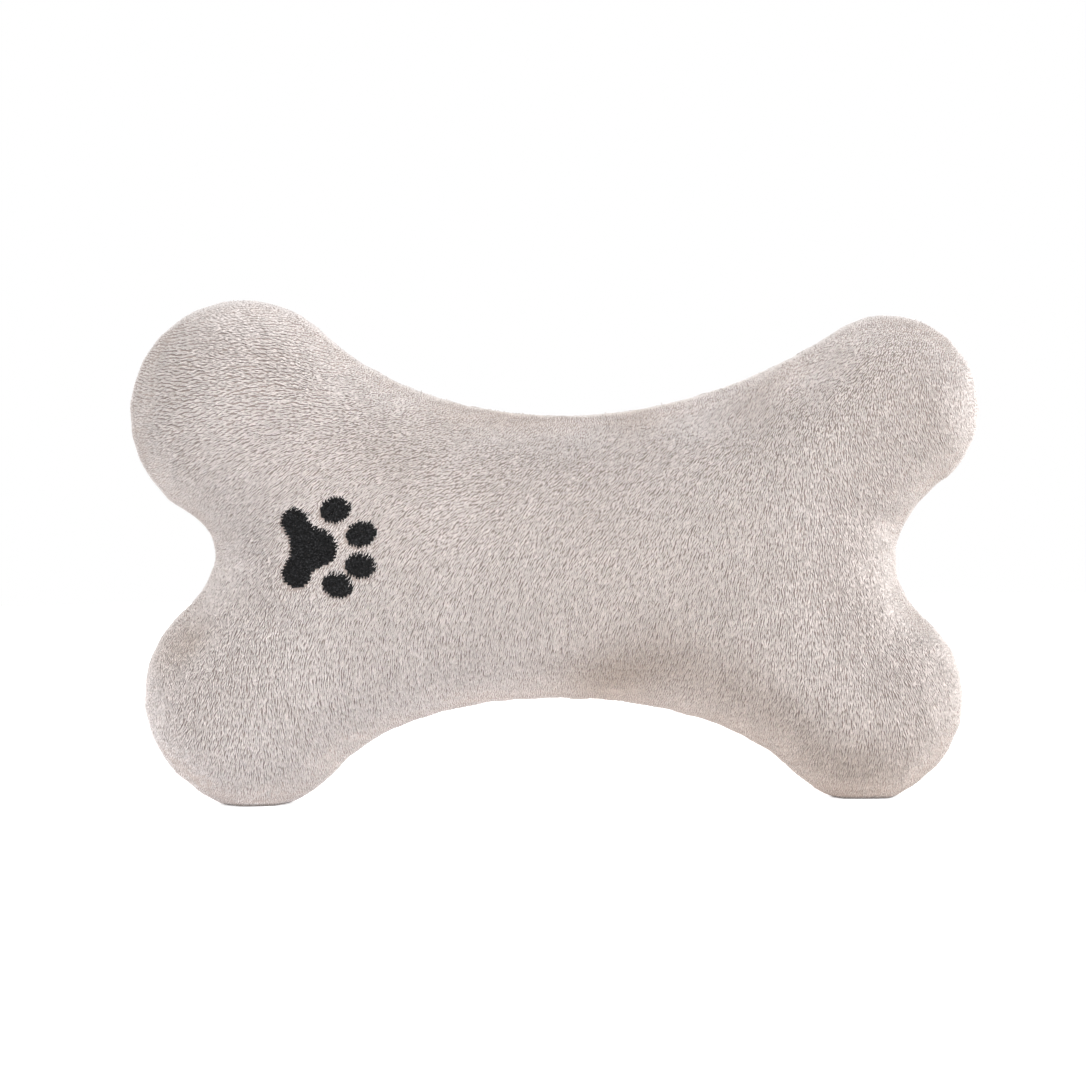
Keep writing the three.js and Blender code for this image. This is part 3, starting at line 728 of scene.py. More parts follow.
def end_tree(nodes, pieces, material):
    """Dresses what a tree has made and hands it out."""
    dressed = nodes.add("GeometryNodeSetMaterial", {"Geometry": pieces, "Material": material})
    nodes.add("NodeGroupOutput", {"Geometry": dressed})


def set_inputs(modifier, values):
    """Sets a geometry nodes modifier's inputs by their identifiers."""
    for item in modifier.node_group.interface.items_tree:
        if item.in_out == "INPUT" and item.name in values:
            modifier[item.identifier] = values[item.name]


def grown(name, mesh, tree, values):
    """A piece made by a geometry nodes tree from a mesh of places, as a plain mesh."""
    piece = new_piece(name, mesh)
    modifier = piece.modifiers.new(tree.name, "NODES")
    modifier.node_group = tree
    set_inputs(modifier, values)
    piece.data = evaluated_mesh(piece)
    bpy.data.meshes.remove(mesh)
    piece.data.shade_smooth()
    return piece


# Materials

WHITE = (1.0, 1.0, 1.0, 1.0)


def new_material(name):
    material = bpy.data.materials.new(name)
    material.use_nodes = True
    nodes = Nodes(material.node_tree)
    shader = next(n for n in material.node_tree.nodes if n.type == "BSDF_PRINCIPLED")
    return material, nodes, shader


def colour4(colour, share=1.0):
    return (*[channel * share for channel in colour], 1.0)


@cache
def pile_material():
    """Short plush: each lock has its own tone, darkened towards its root by painted shade, over broad soft
    patches.
    """
    material, nodes, shader = new_material("plush_pile")
    colour = sizes().plush_colour
    place = nodes.place()
    light = nodes.mix_colour(nodes.painted("tone"), colour4(colour, 0.84), colour4(colour, 1.16))
    # Painted shade at the locks' roots: warm and dark where the locks stand over each other, greyer and
    # lighter near the seam where they lean less
    deep = colour4([channel * share for channel, share in zip(colour, (0.42, 0.37, 0.34))])
    root = nodes.mix_colour(nodes.ramp(nodes.painted("lean"), 0.4, 0.9), colour4(colour, 0.5), deep)
    root_shaded = nodes.mix_colour(nodes.ramp(nodes.painted("along"), 0.0, 0.8), root, light)
    patches = nodes.ramp(nodes.clouds(place, 28.0, 3.0, Roughness=0.5), 0.35, 0.65)
    patched = nodes.mix_colour(patches, (0.93, 0.92, 0.91, 1.0), (1.04, 1.04, 1.045, 1.0))
    speckles = nodes.ramp(nodes.clouds(place, 420.0, 2.0), 0.35, 0.65)
    speckled = nodes.mix_colour(speckles, (0.95, 0.95, 0.95, 1.0), (1.04, 1.04, 1.04, 1.0))
    # The pressed attribute carries painted shade: the pile greyer, darker and warmer in the dents and along
    # the lower arch
    pressed = nodes.ramp(nodes.painted("pressed"), 0.0, PRESSED_AND_SHADED_MOST)
    pressed_and_shaded_tint = nodes.mix_colour(pressed, WHITE, (0.7, 0.63, 0.56, 1.0))
    nodes.fill(shader, {
        "Base Color": nodes.product(root_shaded, patched, speckled, pressed_and_shaded_tint),
        "Roughness": 0.9, "Specular IOR Level": 0.25, "Sheen Weight": 0.5, "Sheen Roughness": 0.55,
    })
    return material


@cache
def ground_material():
    """The knitted ground cloth under the pile, and its plain wrong side, both darkened by painted shade,
    most under the pile away from the seam.
    """
    material, nodes, shader = new_material("plush_ground")
    colour = sizes().plush_colour
    rows = nodes.add(
        "ShaderNodeTexWave",
        {"Vector": nodes.place(), "Scale": 150.0, "Distortion": 1.5, "Detail": 2.0}, bands_direction="Z",
    ).outputs["Fac"]
    lean = nodes.ramp(nodes.painted("lean"), 0.4, 0.9)
    # Painted shade: the ground cloth darkened as if shaded by the pile over it, less near the seam
    depth = nodes.mix_colour(lean, (0.48, 0.45, 0.43, 1.0), (0.4, 0.37, 0.35, 1.0))
    knit = nodes.mix_colour(rows, colour4(colour, 0.9), colour4(colour, 1.05))
    nodes.fill(shader, {
        "Base Color": nodes.product(knit, depth), "Normal": nodes.bump(rows, 0.4, 0.0003),
        "Roughness": 0.95, "Specular IOR Level": 0.2,
    })
    return material


# The pile's ground cloth

# At the seam the pile is shorter and leans less: what is left of each there, and how far in, in
# millimetres, all of it is reached
DEPTH_AT_SEAM, DEPTH_REACH = 0.3, 8
# The lean also sets the painted shade at the locks' roots and on the ground cloth
LEAN_AT_SEAM, LEAN_REACH = 0.35, 12.5
LOCKS_AT_SEAM, LOCKS_REACH = 0.5, 4.5
# How thick the turned-in edge is
EDGE_THICKNESS = 1.2 * MM


def pile_ground(face, side):
    """The ground cloth's outer face."""
    depth = sizes().pile_height * from_seam(DEPTH_AT_SEAM, face, DEPTH_REACH)
    return sunken(face, depth[:, None], side)


def leaning(face):
    """How freely the locks stand up from the cloth and stray at each point."""
    return from_seam(LEAN_AT_SEAM, face, LEAN_REACH)


def skin_mesh(side):
    """A closed panel: outer face, edge turned in as the seam allowance, and inner face."""
    face = panel_face(side)
    look = sizes()
    outer = pile_ground(face, side)
    inner = sunken(face, look.plush_thickness, side)
    lifts = (SEAM_GAP, SEAM_GAP + EDGE_THICKNESS)
    inner[:EDGE_COUNT, 1] = side * lifts[1]
    rings = []
    for lift in lifts:
        ring = face.points[:EDGE_COUNT] - face.normals[:EDGE_COUNT] * look.allowance
        ring[:, 1] = side * lift
        rings.append(ring)
    points = np.vstack([outer, *rings, inner])
    edge = np.arange(EDGE_COUNT)
    starts = np.cumsum([0, len(outer), EDGE_COUNT, EDGE_COUNT])
    joins = [strip(edge + a, edge + b) for a, b in zip(starts, starts[1:])]
    if side > 0:
        joins = [join[:, ::-1] for join in joins]
    triangles = np.vstack([face.triangles, *joins, face.triangles[:, ::-1] + starts[-1]])
    mesh = new_mesh(SKIN_NODES[side] + "_cloth", points, triangles)
    lean = np.zeros(len(points))
    lean[: len(outer)] = leaning(face)
    add_attribute(mesh, "lean", lean)
    return mesh


def make_skins():
    for side, node in SKIN_NODES.items():
        piece = new_piece(node + "_cloth", skin_mesh(side), ground_material())
        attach(piece, "toy")
        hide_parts(node)


# The pile

LOCK_VERTS = 5
# Where a lock's points are along it, and round it on the map that its colour is baked to
LOCK_ALONG = (0.0, 0.55, 0.55, 0.55, 1.0)
LOCK_ROUND = (0.5, 0.0, 0.5, 1.0, 0.5)


def lock_mesh():
    """A lock of pile along X, one unit long, wide and thick: a root, a ring of three and a tip."""
    root, tip = (-0.06, 0.0, -0.55), (1.0, 0.0, -0.16)
    points = [root, (0.55, 0.0, 0.5), (0.55, 0.5, -0.35), (0.55, -0.5, -0.35), tip]
    faces = []
    for first, second in ((1, 2), (2, 3), (3, 1)):
        faces += [(0, second, first), (first, second, LOCK_VERTS - 1)]
    mesh = new_mesh("lock", points, faces)
    add_attribute(mesh, "along", np.array(LOCK_ALONG))
    return mesh


def brushed(flat, side):
    """At each flat point, the pile's direction in the panel's plane and how clear its rows are."""
    spots = np.array(BRUSHING)
    gaps = ((flat[:, None, :] - spots[None, :, :2] * MM) ** 2).sum(axis=2)
    weights = np.exp(-gaps / (2 * (BRUSH_REACH * MM) ** 2)) + NO_WEIGHT
    weights /= weights.sum(axis=1, keepdims=True)
    if side > 0:
        angles = np.radians(BACK_HEADING + BACK_SWAY * np.sin(spots[:, 0] / BACK_SWAY_LENGTH))
        rows = np.full(len(spots), BACK_ROWS)
    else:
        angles, rows = np.radians(spots[:, 2]), spots[:, 3]
    heading = weights @ np.column_stack([np.cos(angles), np.sin(angles)])
    return heading, weights @ rows


# The height at which the knit rows start, how far they waver and how fine their waves are
ROW_START = 0.06
ROW_WAVER = 0.45 * MM
ROW_WAVES = 130
# The way in which the rows follow each other
ROW_WAY = (-0.07, 0.0, 1.0)
# The grid on which the cloth's height is measured, in X and in Z, and the line along which the rows'
# climb is added up: from, to and step
GRID_X = (-0.103, 0.104, 0.002)
GRID_Z = (-0.001, 0.1205, 0.001)
CLIMB_X = (-0.105, 0.106, 0.001)


def cloth_heights(flat):
    """How far up each point is along the curved cloth, from the height at which the rows start."""
    outline = panel_outline()
    xs, zs = np.arange(*GRID_X), np.arange(*GRID_Z)
    places = np.array([(x, z) for x in xs for z in zs])
    _, depth = nearest_on(outline, places)
    swell = np.where(depth > 0, swelling(outline, places), 0.0).reshape(len(xs), len(zs))
    steps = np.sqrt(np.diff(swell, axis=1) ** 2 + np.diff(zs) ** 2)
    length = np.concatenate([np.zeros((len(xs), 1)), np.cumsum(steps, axis=1)], axis=1)
    start = int(np.argmin(np.abs(zs - ROW_START)))
    length += ROW_START - length[:, start : start + 1]
    across = np.clip((flat[:, 0] - xs[0]) / GRID_X[2], 0, len(xs) - 1.001)
    up = np.clip((flat[:, 1] - zs[0]) / GRID_Z[2], 0, len(zs) - 1.001)
    i, j = across.astype(int), up.astype(int)
    a, b = across - i, up - j
    low = length[i, j] * (1 - a) + length[i + 1, j] * a
    high = length[i, j + 1] * (1 - a) + length[i + 1, j + 1] * a
    return low * (1 - b) + high * b


def row_climb(flat):
    """How far the knit rows have climbed at each point's X."""
    along = np.arange(*CLIMB_X)
    slope = np.interp(along, *(np.array(ROW_SLOPES) * (MM, 1.0)).T)
    return np.interp(flat[:, 0], along, np.cumsum(slope) * CLIMB_X[2])


# Where the face turns towards its edge, the nap follows it no further than at this facing, squared
FACING_LEAST = 0.12
# Near the seam plane the nap crosses the seam: how near, and how much of its own way it loses
CROSSING_REACH = 1.8 * MM
CROSSING_SHARE = 0.6
# How much of their length the locks lose in clear rows, and how far pressing and its painted shade add up
ROW_SHORTENING = 0.4
PRESSED_AND_SHADED_MOST = 1.2
# Round the embroidery: how far out locks start and all stand, the length of those at its edge, and
# how far out they are whole
KEEP_START, KEEP_REACH = 0.1 * MM, 0.4 * MM
LENGTH_BY_PAW, PAW_REACH = 0.6, 1.6 * MM


def ground_points(side):
    """The pile's ground, and all that the locks read from it."""
    face = panel_face(side)
    heading, rows = brushed(face.flat, side)
    nap = np.column_stack([heading[:, 0], np.zeros(len(heading)), heading[:, 1]])
    facing = face.normals[:, 1]
    nap[:, 1] = -(nap * face.normals).sum(axis=1) * facing / np.maximum(facing**2, FACING_LEAST)
    crossing = np.exp(-((face.points[:, 1] / CROSSING_REACH) ** 2))[:, None]
    nap = nap * (1 - CROSSING_SHARE * crossing) + np.array([0.0, -side, 0.0]) * crossing
    nap -= face.normals * (nap * face.normals).sum(axis=1, keepdims=True)
    rise = ROW_WAY - face.normals * (face.normals @ ROW_WAY)[:, None]
    waver = np.array([noise.noise(Vector((x, 7.0 * side, z)) * ROW_WAVES) for x, z in face.flat])
    across = np.abs(heading[:, 1]) / np.maximum(np.linalg.norm(heading, axis=1), NO_LENGTH)
    off = off_paw(face.flat) if side < 0 else np.ones(len(face.flat))
    reach = LENGTH_BY_PAW + (1 - LENGTH_BY_PAW) * np.clip(off / PAW_REACH, 0.0, 1.0)
    reach = np.minimum(reach, from_seam(LOCKS_AT_SEAM, face, LOCKS_REACH))
    return pile_ground(face, side), {
        "nap": unit(nap),
        "rise": unit(rise),
        "rows": rows,
        "row": (cloth_heights(face.flat) - row_climb(face.flat) + waver * ROW_WAVER) / sizes().row_pitch,
        "lean": leaning(face),
        # pressed: pile pressed into the dents, and painted shade there and along the lower arch
        "pressed": np.minimum(spots_at(PRESSED_AND_SHADED, face.flat), PRESSED_AND_SHADED_MOST),
        "keep": np.clip((off + KEEP_START) / KEEP_REACH, 0.0, 1.0),
        "reach": reach * (1.0 - ROW_SHORTENING * np.clip(rows * across, 0.0, 1.0)),
    }


# How many points the outlines of the pad and of a toe have
PAD_COUNT, TOE_COUNT = 90, 48


def field_outlines():
    fields = {"paw_pad": outline_of(PAD_LOBES, PAD_COUNT)}
    turns = np.linspace(0.0, -2 * math.pi, TOE_COUNT, endpoint=False)
    a, b = TOE_LONG * np.cos(turns), TOE_SHORT * np.sin(turns)
    for name, (x, z, tilt) in TOES.items():
        c, s = math.cos(math.radians(tilt)), math.sin(math.radians(tilt))
        fields[name] = MM * np.column_stack([x + a * c - b * s, z + a * s + b * c])
    return fields


def off_paw(flat):
    """How far each flat point is from the embroidered fields, negative inside them."""
    off = np.full(len(flat), 1.0)
    near = ((flat > PAW_LOW) & (flat < PAW_HIGH)).all(axis=1)
    for outline in field_outlines().values():
        _, depth = nearest_on(outline, flat[near])
        off[near] = np.minimum(off[near], -depth)
    return off


# How the locks stand and differ: how steeply they stand, how many there are to a square metre at
# most, how much of its way to the nearest row each is drawn, how broken the rows are and on what
# scale, how far each lock strays, how much they clump and on what scale, and what share of the
# width and of the length each has
LOCK_LEAN = 0.34
LOCK_DENSITY = 2.4e7
ROW_DRAW = -0.5
ROW_BREAKS, ROW_BREAK_SCALE = 1.9, 420.0
LOCK_STRAY = 0.07
LOCK_CLUMPS, LOCK_CLUMP_SCALE = 0.75, 560.0
LOCK_WIDTHS = (0.75, 1.3)
LOCK_LENGTHS = (0.75, 1.2)
# The least height of the pile over the floor
FLOOR_GAP = 0.00005
# What is added to the seed for each random draw
TONE_SEED, STRAY_SEED, LENGTH_SEED, WIDTH_SEED = 11, 23, 37, 41


def pile_tree(lock, material):
    """Geometry nodes: points on the ground, drawn into rows, and a lock on each of them."""
    look = sizes()
    values = {
        "Lock": lock, "Spacing": look.lock_spacing, "Length": look.lock_length,
        "Width": look.lock_width, "Row pitch": look.row_pitch, "Lean": LOCK_LEAN, "Seed": 0,
    }
    kinds = {"Lock": "Object", "Seed": "Int"}
    tree, n, given = new_tree("pile", {name: kinds.get(name, "Float") for name in values})

    def random(low, high, seed, kind="FLOAT"):
        first, output = (2, 1) if kind == "FLOAT" else (0, 0)
        inputs = {first: low, first + 1: high, 8: n.maths("ADD", given["Seed"], seed)}
        return n.add("FunctionNodeRandomValue", inputs, data_type=kind).outputs[output]

    scattered = n.add(
        "GeometryNodeDistributePointsOnFaces",
        {
            "Mesh": given["Geometry"],
            "Distance Min": given["Spacing"],
            "Density Max": LOCK_DENSITY,
            "Density Factor": n.stored("keep"),
            "Seed": given["Seed"],
        },
        distribute_method="POISSON",
    )
    normal = scattered.outputs["Normal"]
    place = n.add("GeometryNodeInputPosition").outputs[0]
    breaks = n.maths("SUBTRACT", n.clouds(place, ROW_BREAK_SCALE, 1.0), 0.5)
    row = n.maths("ADD", n.stored("row"), n.maths("MULTIPLY", breaks, ROW_BREAKS))
    off_row = n.maths("SUBTRACT", row, n.maths("ROUND", row))
    draw = n.maths("MULTIPLY", off_row, n.maths("MULTIPLY", given["Row pitch"], ROW_DRAW))
    drawn = n.scaled(n.stored("rise", "FLOAT_VECTOR"), n.maths("MULTIPLY", draw, n.stored("rows")))
    moved = n.add("GeometryNodeSetPosition", {"Geometry": scattered.outputs["Points"], "Offset": drawn})
    toned = n.add(
        "GeometryNodeStoreNamedAttribute",
        {"Geometry": moved, "Name": "tone", "Value": random(0.0, 1.0, TONE_SEED)},
        data_type="FLOAT", domain="POINT",
    )
    stray = random((-LOCK_STRAY,) * 3, (LOCK_STRAY,) * 3, STRAY_SEED, "FLOAT_VECTOR")
    clumps = n.clouds(place, LOCK_CLUMP_SCALE, 2.0, output="Color")
    drift = n.vector_maths("SUBTRACT", clumps, (0.5,) * 3)
    drift = n.vector_maths("MULTIPLY", drift, (LOCK_CLUMPS,) * 3)
    lift = n.scaled(normal, n.maths("MULTIPLY", given["Lean"], n.stored("lean")))
    unruly = n.scaled(n.vector_maths("ADD", stray, drift), n.stored("lean"))
    nap = n.vector_maths("ADD", n.stored("nap", "FLOAT_VECTOR"), lift)
    length = n.maths("MULTIPLY", given["Length"], n.stored("reach"))
    width = n.maths("MULTIPLY", given["Width"], random(*LOCK_WIDTHS, WIDTH_SEED))
    scale = n.xyz(n.maths("MULTIPLY", length, random(*LOCK_LENGTHS, LENGTH_SEED)), width, width)
    locks = lay_copies(n, toned, given["Lock"], n.vector_maths("ADD", nap, unruly), normal, scale)
    x, y, z = n.add("ShaderNodeSeparateXYZ", {"Vector": place}).outputs
    floored = n.xyz(x, y, n.maths("MAXIMUM", z, FLOOR_GAP))
    end_tree(n, n.add("GeometryNodeSetPosition", {"Geometry": locks, "Position": floored}), material)
    return tree, values


# How much of a lock's cell stays free at each side
CELL_MARGIN = 0.1


def lay_out_locks(mesh):
    """Gives each lock its own cell of the map that its colour is baked to."""
    across = int(math.ceil(math.sqrt(len(mesh.vertices) // LOCK_VERTS)))
    lock, local = np.divmod(read_rows(mesh.loops, "vertex_index", 1, np.int32)[:, 0], LOCK_VERTS)
    size = 1 - 2 * CELL_MARGIN
    u = (lock % across + CELL_MARGIN + size * np.array(LOCK_ALONG)[local]) / across
    v = (lock // across + CELL_MARGIN + size * np.array(LOCK_ROUND)[local]) / across
    layer = mesh.uv_layers.new(name="OFBake")
    layer.data.foreach_set("uv", np.column_stack([u, v]).astype(np.float32).ravel())


# Where the pile is cut into pieces in X, and the seeds of the pieces
PILE_CUTS = (-0.11, -0.071, -0.036, 0.0, 0.036, 0.071, 0.11)
PILE_SEED, SIDE_SEED, PIECE_SEED = 50, 7, 100


def make_pile():
    lock = new_piece("lock", lock_mesh())
    tree, values = pile_tree(lock, pile_material())
    for side, node in SKIN_NODES.items():
        face = panel_face(side)
        points, readings = ground_points(side)
        middle = face.flat[face.triangles].mean(axis=1)[:, 0]
        for k, (low, high) in enumerate(zip(PILE_CUTS, PILE_CUTS[1:])):
            part = face.triangles[(middle >= low) & (middle < high)]
            used, numbers = np.unique(part, return_inverse=True)
            mesh = new_mesh("pile_ground", points[used], numbers.reshape(-1, 3))
            for name, reading in readings.items():
                add_attribute(mesh, name, reading[used])
            seed = PIECE_SEED * k + SIDE_SEED * side + PILE_SEED
            piece = grown(f"{SIDE_NAMES[side]}_pile_{k + 1}", mesh, tree, {**values, "Seed": seed})
            lay_out_locks(piece.data)
            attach(piece, "toy")
            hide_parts(node)
    bpy.data.objects.remove(lock)


# The embroidery

THREAD_WIDTH = 0.42 * MM
STITCH_LENGTH = 2.3 * MM
# The layers of a fill: turn from the field's threads, pitch, reach past the outline of every other
# thread and of those between them, and depth. The first is the underlay.
FILL_LAYERS = (
    (90, 0.4 * MM, -0.3 * MM, -0.4 * MM, 0.3 * MM),
    (0, 0.34 * MM, 0.45 * MM, -0.12 * MM, 0.0),
)
THREAD_TURNS = {"paw_pad": 4, "paw_toe_1": 98, "paw_toe_2": 88, "paw_toe_3": 84, "paw_toe_4": 68}
# How unevenly a thread reaches past the outline, from one to the next, and the shortest that is laid
TOOTH_SWAY, TOOTH_TURN = 0.16 * MM, 5.3
THREAD_LEAST = 0.5 * MM
# How far into the pile the thread's middle lies, in widths, how the cuts of each thread are shifted
# from those of the last, and the shortest stitch, both in stitches
THREAD_SINK = 0.45
STITCH_SHIFT = 0.37
STITCH_LEAST = 0.25
# Half of a stitch, from its end: places along it, widths and heights
STITCH_STATIONS = ((0.52, 0.4, -0.7), (0.45, 0.85, -0.2), (0.2, 1.0, 0.05))
STITCH_SIDES = 5
# How far before the seam plane the places of the stitches are looked for
LOOK_FROM = -0.2


def stitch_mesh():
    """A stitch along X, one unit long, wide and high, that dips into the cloth at both ends."""
    stations = [(-along, width, lift) for along, width, lift in STITCH_STATIONS]
    stations += STITCH_STATIONS[::-1]
    sides = STITCH_SIDES
    points, faces = [], []
    for along, width, lift in stations:
        for k in range(sides):
            turn = 2 * math.pi * (k + 0.25) / sides
            points.append((along, width * math.cos(turn) / 2, width * math.sin(turn) / 2 + lift))
    last = len(points) - sides
    for ring in range(0, last, sides):
        for k in range(sides):
            a, b = ring + k, ring + (k + 1) % sides
            faces.append((b, b + sides, a + sides, a))
    faces += [tuple(reversed(range(sides))), tuple(range(last, last + sides))]
    return new_mesh("stitch", points, faces)


def stitch_tree(stitch, material):
    """Geometry nodes: a stitch on each point, turned and stretched as the point says."""
    tree, n, given = new_tree("stitches", {"Stitch": "Object", "Thread width": "Float"})
    heading, up = n.stored("heading", "FLOAT_VECTOR"), n.stored("up", "FLOAT_VECTOR")
    scale = n.xyz(n.stored("span"), given["Thread width"], given["Thread width"])
    end_tree(n, lay_copies(n, given["Geometry"], given["Stitch"], heading, up, scale), material)
    return tree, {"Stitch": stitch, "Thread width": THREAD_WIDTH}


def rows_across(outline, turn, pitch, teeth):
    """The stretches of parallel threads that fill an outline, as pairs of ends."""
    way = np.array([math.cos(turn), math.sin(turn)])
    side = np.array([-way[1], way[0]])
    along, across = outline @ way, outline @ side
    stretches = []
    rows = np.arange(across.min() + pitch / 2, across.max(), pitch)
    following = np.roll(np.arange(len(outline)), -1)
    for k, row in enumerate(rows):
        crossing = (across > row) != (across[following] > row)
        a, b = across[crossing], across[following][crossing]
        at, beyond = along[crossing], along[following][crossing]
        ends = np.sort(at + (row - a) / (b - a) * (beyond - at))
        tooth = teeth[k % 2] + TOOTH_SWAY * math.sin(TOOTH_TURN * k)
        for low, high in zip(ends[::2], ends[1::2]):
            if high - low + 2 * tooth > THREAD_LEAST:
                stretches.append((k, (low - tooth) * way + row * side, (high + tooth) * way + row * side))
    return stretches


def field_stitches(name, outline):
    """The stitches that fill a field: their middles, headings, lengths and the cloth's normals."""
    front = panel_face(-1)
    lift = sizes().pile_height - THREAD_WIDTH * THREAD_SINK
    stitches = []
    for turn, pitch, *teeth, depth in FILL_LAYERS:
        cloth = [Vector(point) for point in sunken(front, lift + depth, -1)]
        surface = bvhtree.BVHTree.FromPolygons(cloth, front.triangles.tolist())
        for k, start, end in rows_across(outline, math.radians(THREAD_TURNS[name] + turn), pitch, teeth):
            reach = np.linalg.norm(end - start)
            first = STITCH_LENGTH * ((k * STITCH_SHIFT) % 1.0)
            cuts = np.concatenate([[0.0], np.arange(first, reach, STITCH_LENGTH), [reach]])
            cuts = cuts[np.concatenate([[True], np.diff(cuts) > STITCH_LENGTH * STITCH_LEAST])]
            cuts[-1] = reach
            on_cloth = []
            for cut in cuts:
                spot = start + (end - start) * cut / reach
                found = surface.ray_cast(Vector((spot[0], LOOK_FROM, spot[1])), Vector((0.0, 1.0, 0.0)))
                on_cloth.append(found[:2])
            for (a, up), (b, _) in zip(on_cloth, on_cloth[1:]):
                stitches.append(((a + b) / 2, b - a, (b - a).length, up))
    return stitches


def points_mesh(name, stitches):
    middles, headings, lengths, ups = zip(*stitches)
    mesh = new_mesh(name, middles, [])
    add_attribute(mesh, "heading", np.array([heading.normalized() for heading in headings]))
    add_attribute(mesh, "span", np.array(lengths))
    add_attribute(mesh, "up", np.array(ups))
    return mesh


@cache
def thread_material(name, colour, shine, highlight_spread):
    """Spun thread: fine strands along it, with a soft shine, and painted highlight: the lightest strands
    stand for glints of the shine.
    """
    material, nodes, shader = new_material(name)
    strands = nodes.clouds(nodes.place(), 2600.0, 2.0)
    # The light end of the strands is painted highlight, the thread's glints put into its colour
    dark, light = colour4(colour, 1.0 - highlight_spread), colour4(colour, 1.0 + 9 * highlight_spread)
    nodes.fill(shader, {
        "Base Color": nodes.mix_colour(nodes.ramp(strands, 0.5, 0.68), dark, light),
        "Normal": nodes.bump(strands, 0.5, 0.0001), "Roughness": 0.5, "Specular IOR Level": shine,
    })
    return material


def make_embroidery():
    stitch = new_piece("stitch", stitch_mesh())
    tree, values = stitch_tree(stitch, thread_material("paw_thread", tuple(sizes().paw_colour), 0.1, 0.5))
    for name, outline in field_outlines().items():
        piece = grown(name + "_stitches", points_mesh(name, field_stitches(name, outline)), tree, values)
        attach(piece, "toy")
        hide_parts(name)
    bpy.data.objects.remove(stitch)


# The filling

# The cells of a wad's mesh, and how deep its hollows are
WAD_CELL = 0.0018
WAD_DEPTH = 0.0009
# How fine the clumps are, and their falling off, refining and rounds
WAD_CLUMPS = 170
WAD_FRACTAL = (0.8, 2.1, 3)
# How close the corners of a plain filling's loose triangles are to be joined
WELD_DISTANCE = 1e-6


@cache
def fibre_material():
    """Polyester fibre: matted strands, soft and white."""
    material, nodes, shader = new_material("polyester_fibre")
    place = nodes.add("ShaderNodeMapping", {"Vector": nodes.place(), "Scale": (1.0, 1.6, 0.5)})
    strands = nodes.clouds(place, 700.0, 5.0, Distortion=1.2)
    fibres = nodes.mix_colour(nodes.ramp(strands, 0.3, 0.7), (0.74, 0.74, 0.72, 1.0), (0.9, 0.9, 0.89, 1.0))
    shade = nodes.mix_colour(nodes.clouds(place, 90.0, 2.0), (0.9, 0.9, 0.89, 1.0), WHITE)
    nodes.fill(shader, {
        "Base Color": nodes.product(fibres, shade), "Normal": nodes.bump(strands, 0.6, 0.0004),
        "Roughness": 1.0, "Specular IOR Level": 0.15, "Sheen Weight": 0.3,
    })
    return material


def make_wads():
    """Makes a clumped wad of fibre in the place of each plain filling."""
    for node in sorted(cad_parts):
        if "filling" not in node:
            continue
        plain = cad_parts[node].data.copy()
        piece = new_piece(node + "_wad", plain, fibre_material())
        piece.modifiers.new("weld", "WELD").merge_threshold = WELD_DISTANCE
        piece.data = mesh = even_cells(piece, WAD_CELL)
        bpy.data.meshes.remove(plain)
        points = mesh_points(mesh)
        clumps = np.array([noise.fractal(Vector(p) * WAD_CLUMPS, *WAD_FRACTAL) for p in points])
        low, high = clumps.min(), clumps.max()
        depth = WAD_DEPTH * (high - clumps) / (high - low)
        points -= read_rows(mesh.vertices, "normal", 3) * depth[:, None]
        mesh.vertices.foreach_set("co", points.astype(np.float32).ravel())
        mesh.shade_smooth()
        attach(piece, "toy")
        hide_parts(node)


# The carried CAD nodes


@cache
def moulded_material(name, colour, roughness, scale):
    """Moulded plastic: a faint grain and a faint cloudiness."""
    material, nodes, shader = new_material(name)
    place = nodes.place()
    grain = nodes.clouds(place, scale, 4.0)
    clouds = nodes.ramp(nodes.clouds(place, scale / 12, 2.0), 0.3, 0.7)
    nodes.fill(shader, {
        "Base Color": nodes.mix_colour(clouds, colour4(colour, 0.93), colour4(colour, 1.04)),
        "Roughness": nodes.ramp(grain, 0.2, 0.8, roughness - 0.06, roughness + 0.08),
        "Normal": nodes.bump(grain, 0.15, 0.0001), "Subsurface Radius": (0.002, 0.002, 0.002),
    })
    return material


@cache
def sheet_material():
    """Non-woven backing: pressed fibres with a grid of bonding dots."""
    material, nodes, shader = new_material("backing_sheet")
    place = nodes.place()
    fibres = nodes.ramp(nodes.clouds(place, 1500.0, 5.0, Distortion=2.0), 0.3, 0.7)
    dots = nodes.add("ShaderNodeTexVoronoi", {"Vector": place, "Scale": 900.0, "Randomness": 0.0})
    bonded = nodes.ramp(dots.outputs["Distance"], 0.2, 0.35)
    colour = nodes.mix_colour(fibres, (0.76, 0.76, 0.75, 1.0), (0.86, 0.86, 0.85, 1.0))
    nodes.fill(shader, {
        "Base Color": nodes.mix_colour(bonded, (0.68, 0.68, 0.67, 1.0), colour),
        "Normal": nodes.bump(bonded, 0.5, 0.0001), "Roughness": 0.95,
    })
    return material


def dress_carried_nodes():
    """Gives the CAD nodes that stay as they are their materials."""
    seam_colour = tuple(channel * 0.7 for channel in sizes().plush_colour)
    thread = thread_material("seam_thread", seam_colour, 0.25, 0.04)
    hard_plastic = moulded_material("hard_white_plastic", (0.86, 0.86, 0.83), 0.3, 800.0)
    looks = {
        "seam_thread": thread,
        "closing_thread": thread,
        "embroidery_backing": sheet_material(),
        "squeaker_bulb": moulded_material("soft_milky_plastic", (0.8, 0.78, 0.7), 0.42, 500.0),
        "whistle_sleeve": hard_plastic,
        "reed_block": hard_plastic,
        "reed_clamp": hard_plastic,
        "reed": moulded_material("reed_film", (0.7, 0.72, 0.7), 0.2, 1200.0),
    }
    for node, material in looks.items():
        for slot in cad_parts[node].material_slots:
            slot.material = material


# The stage

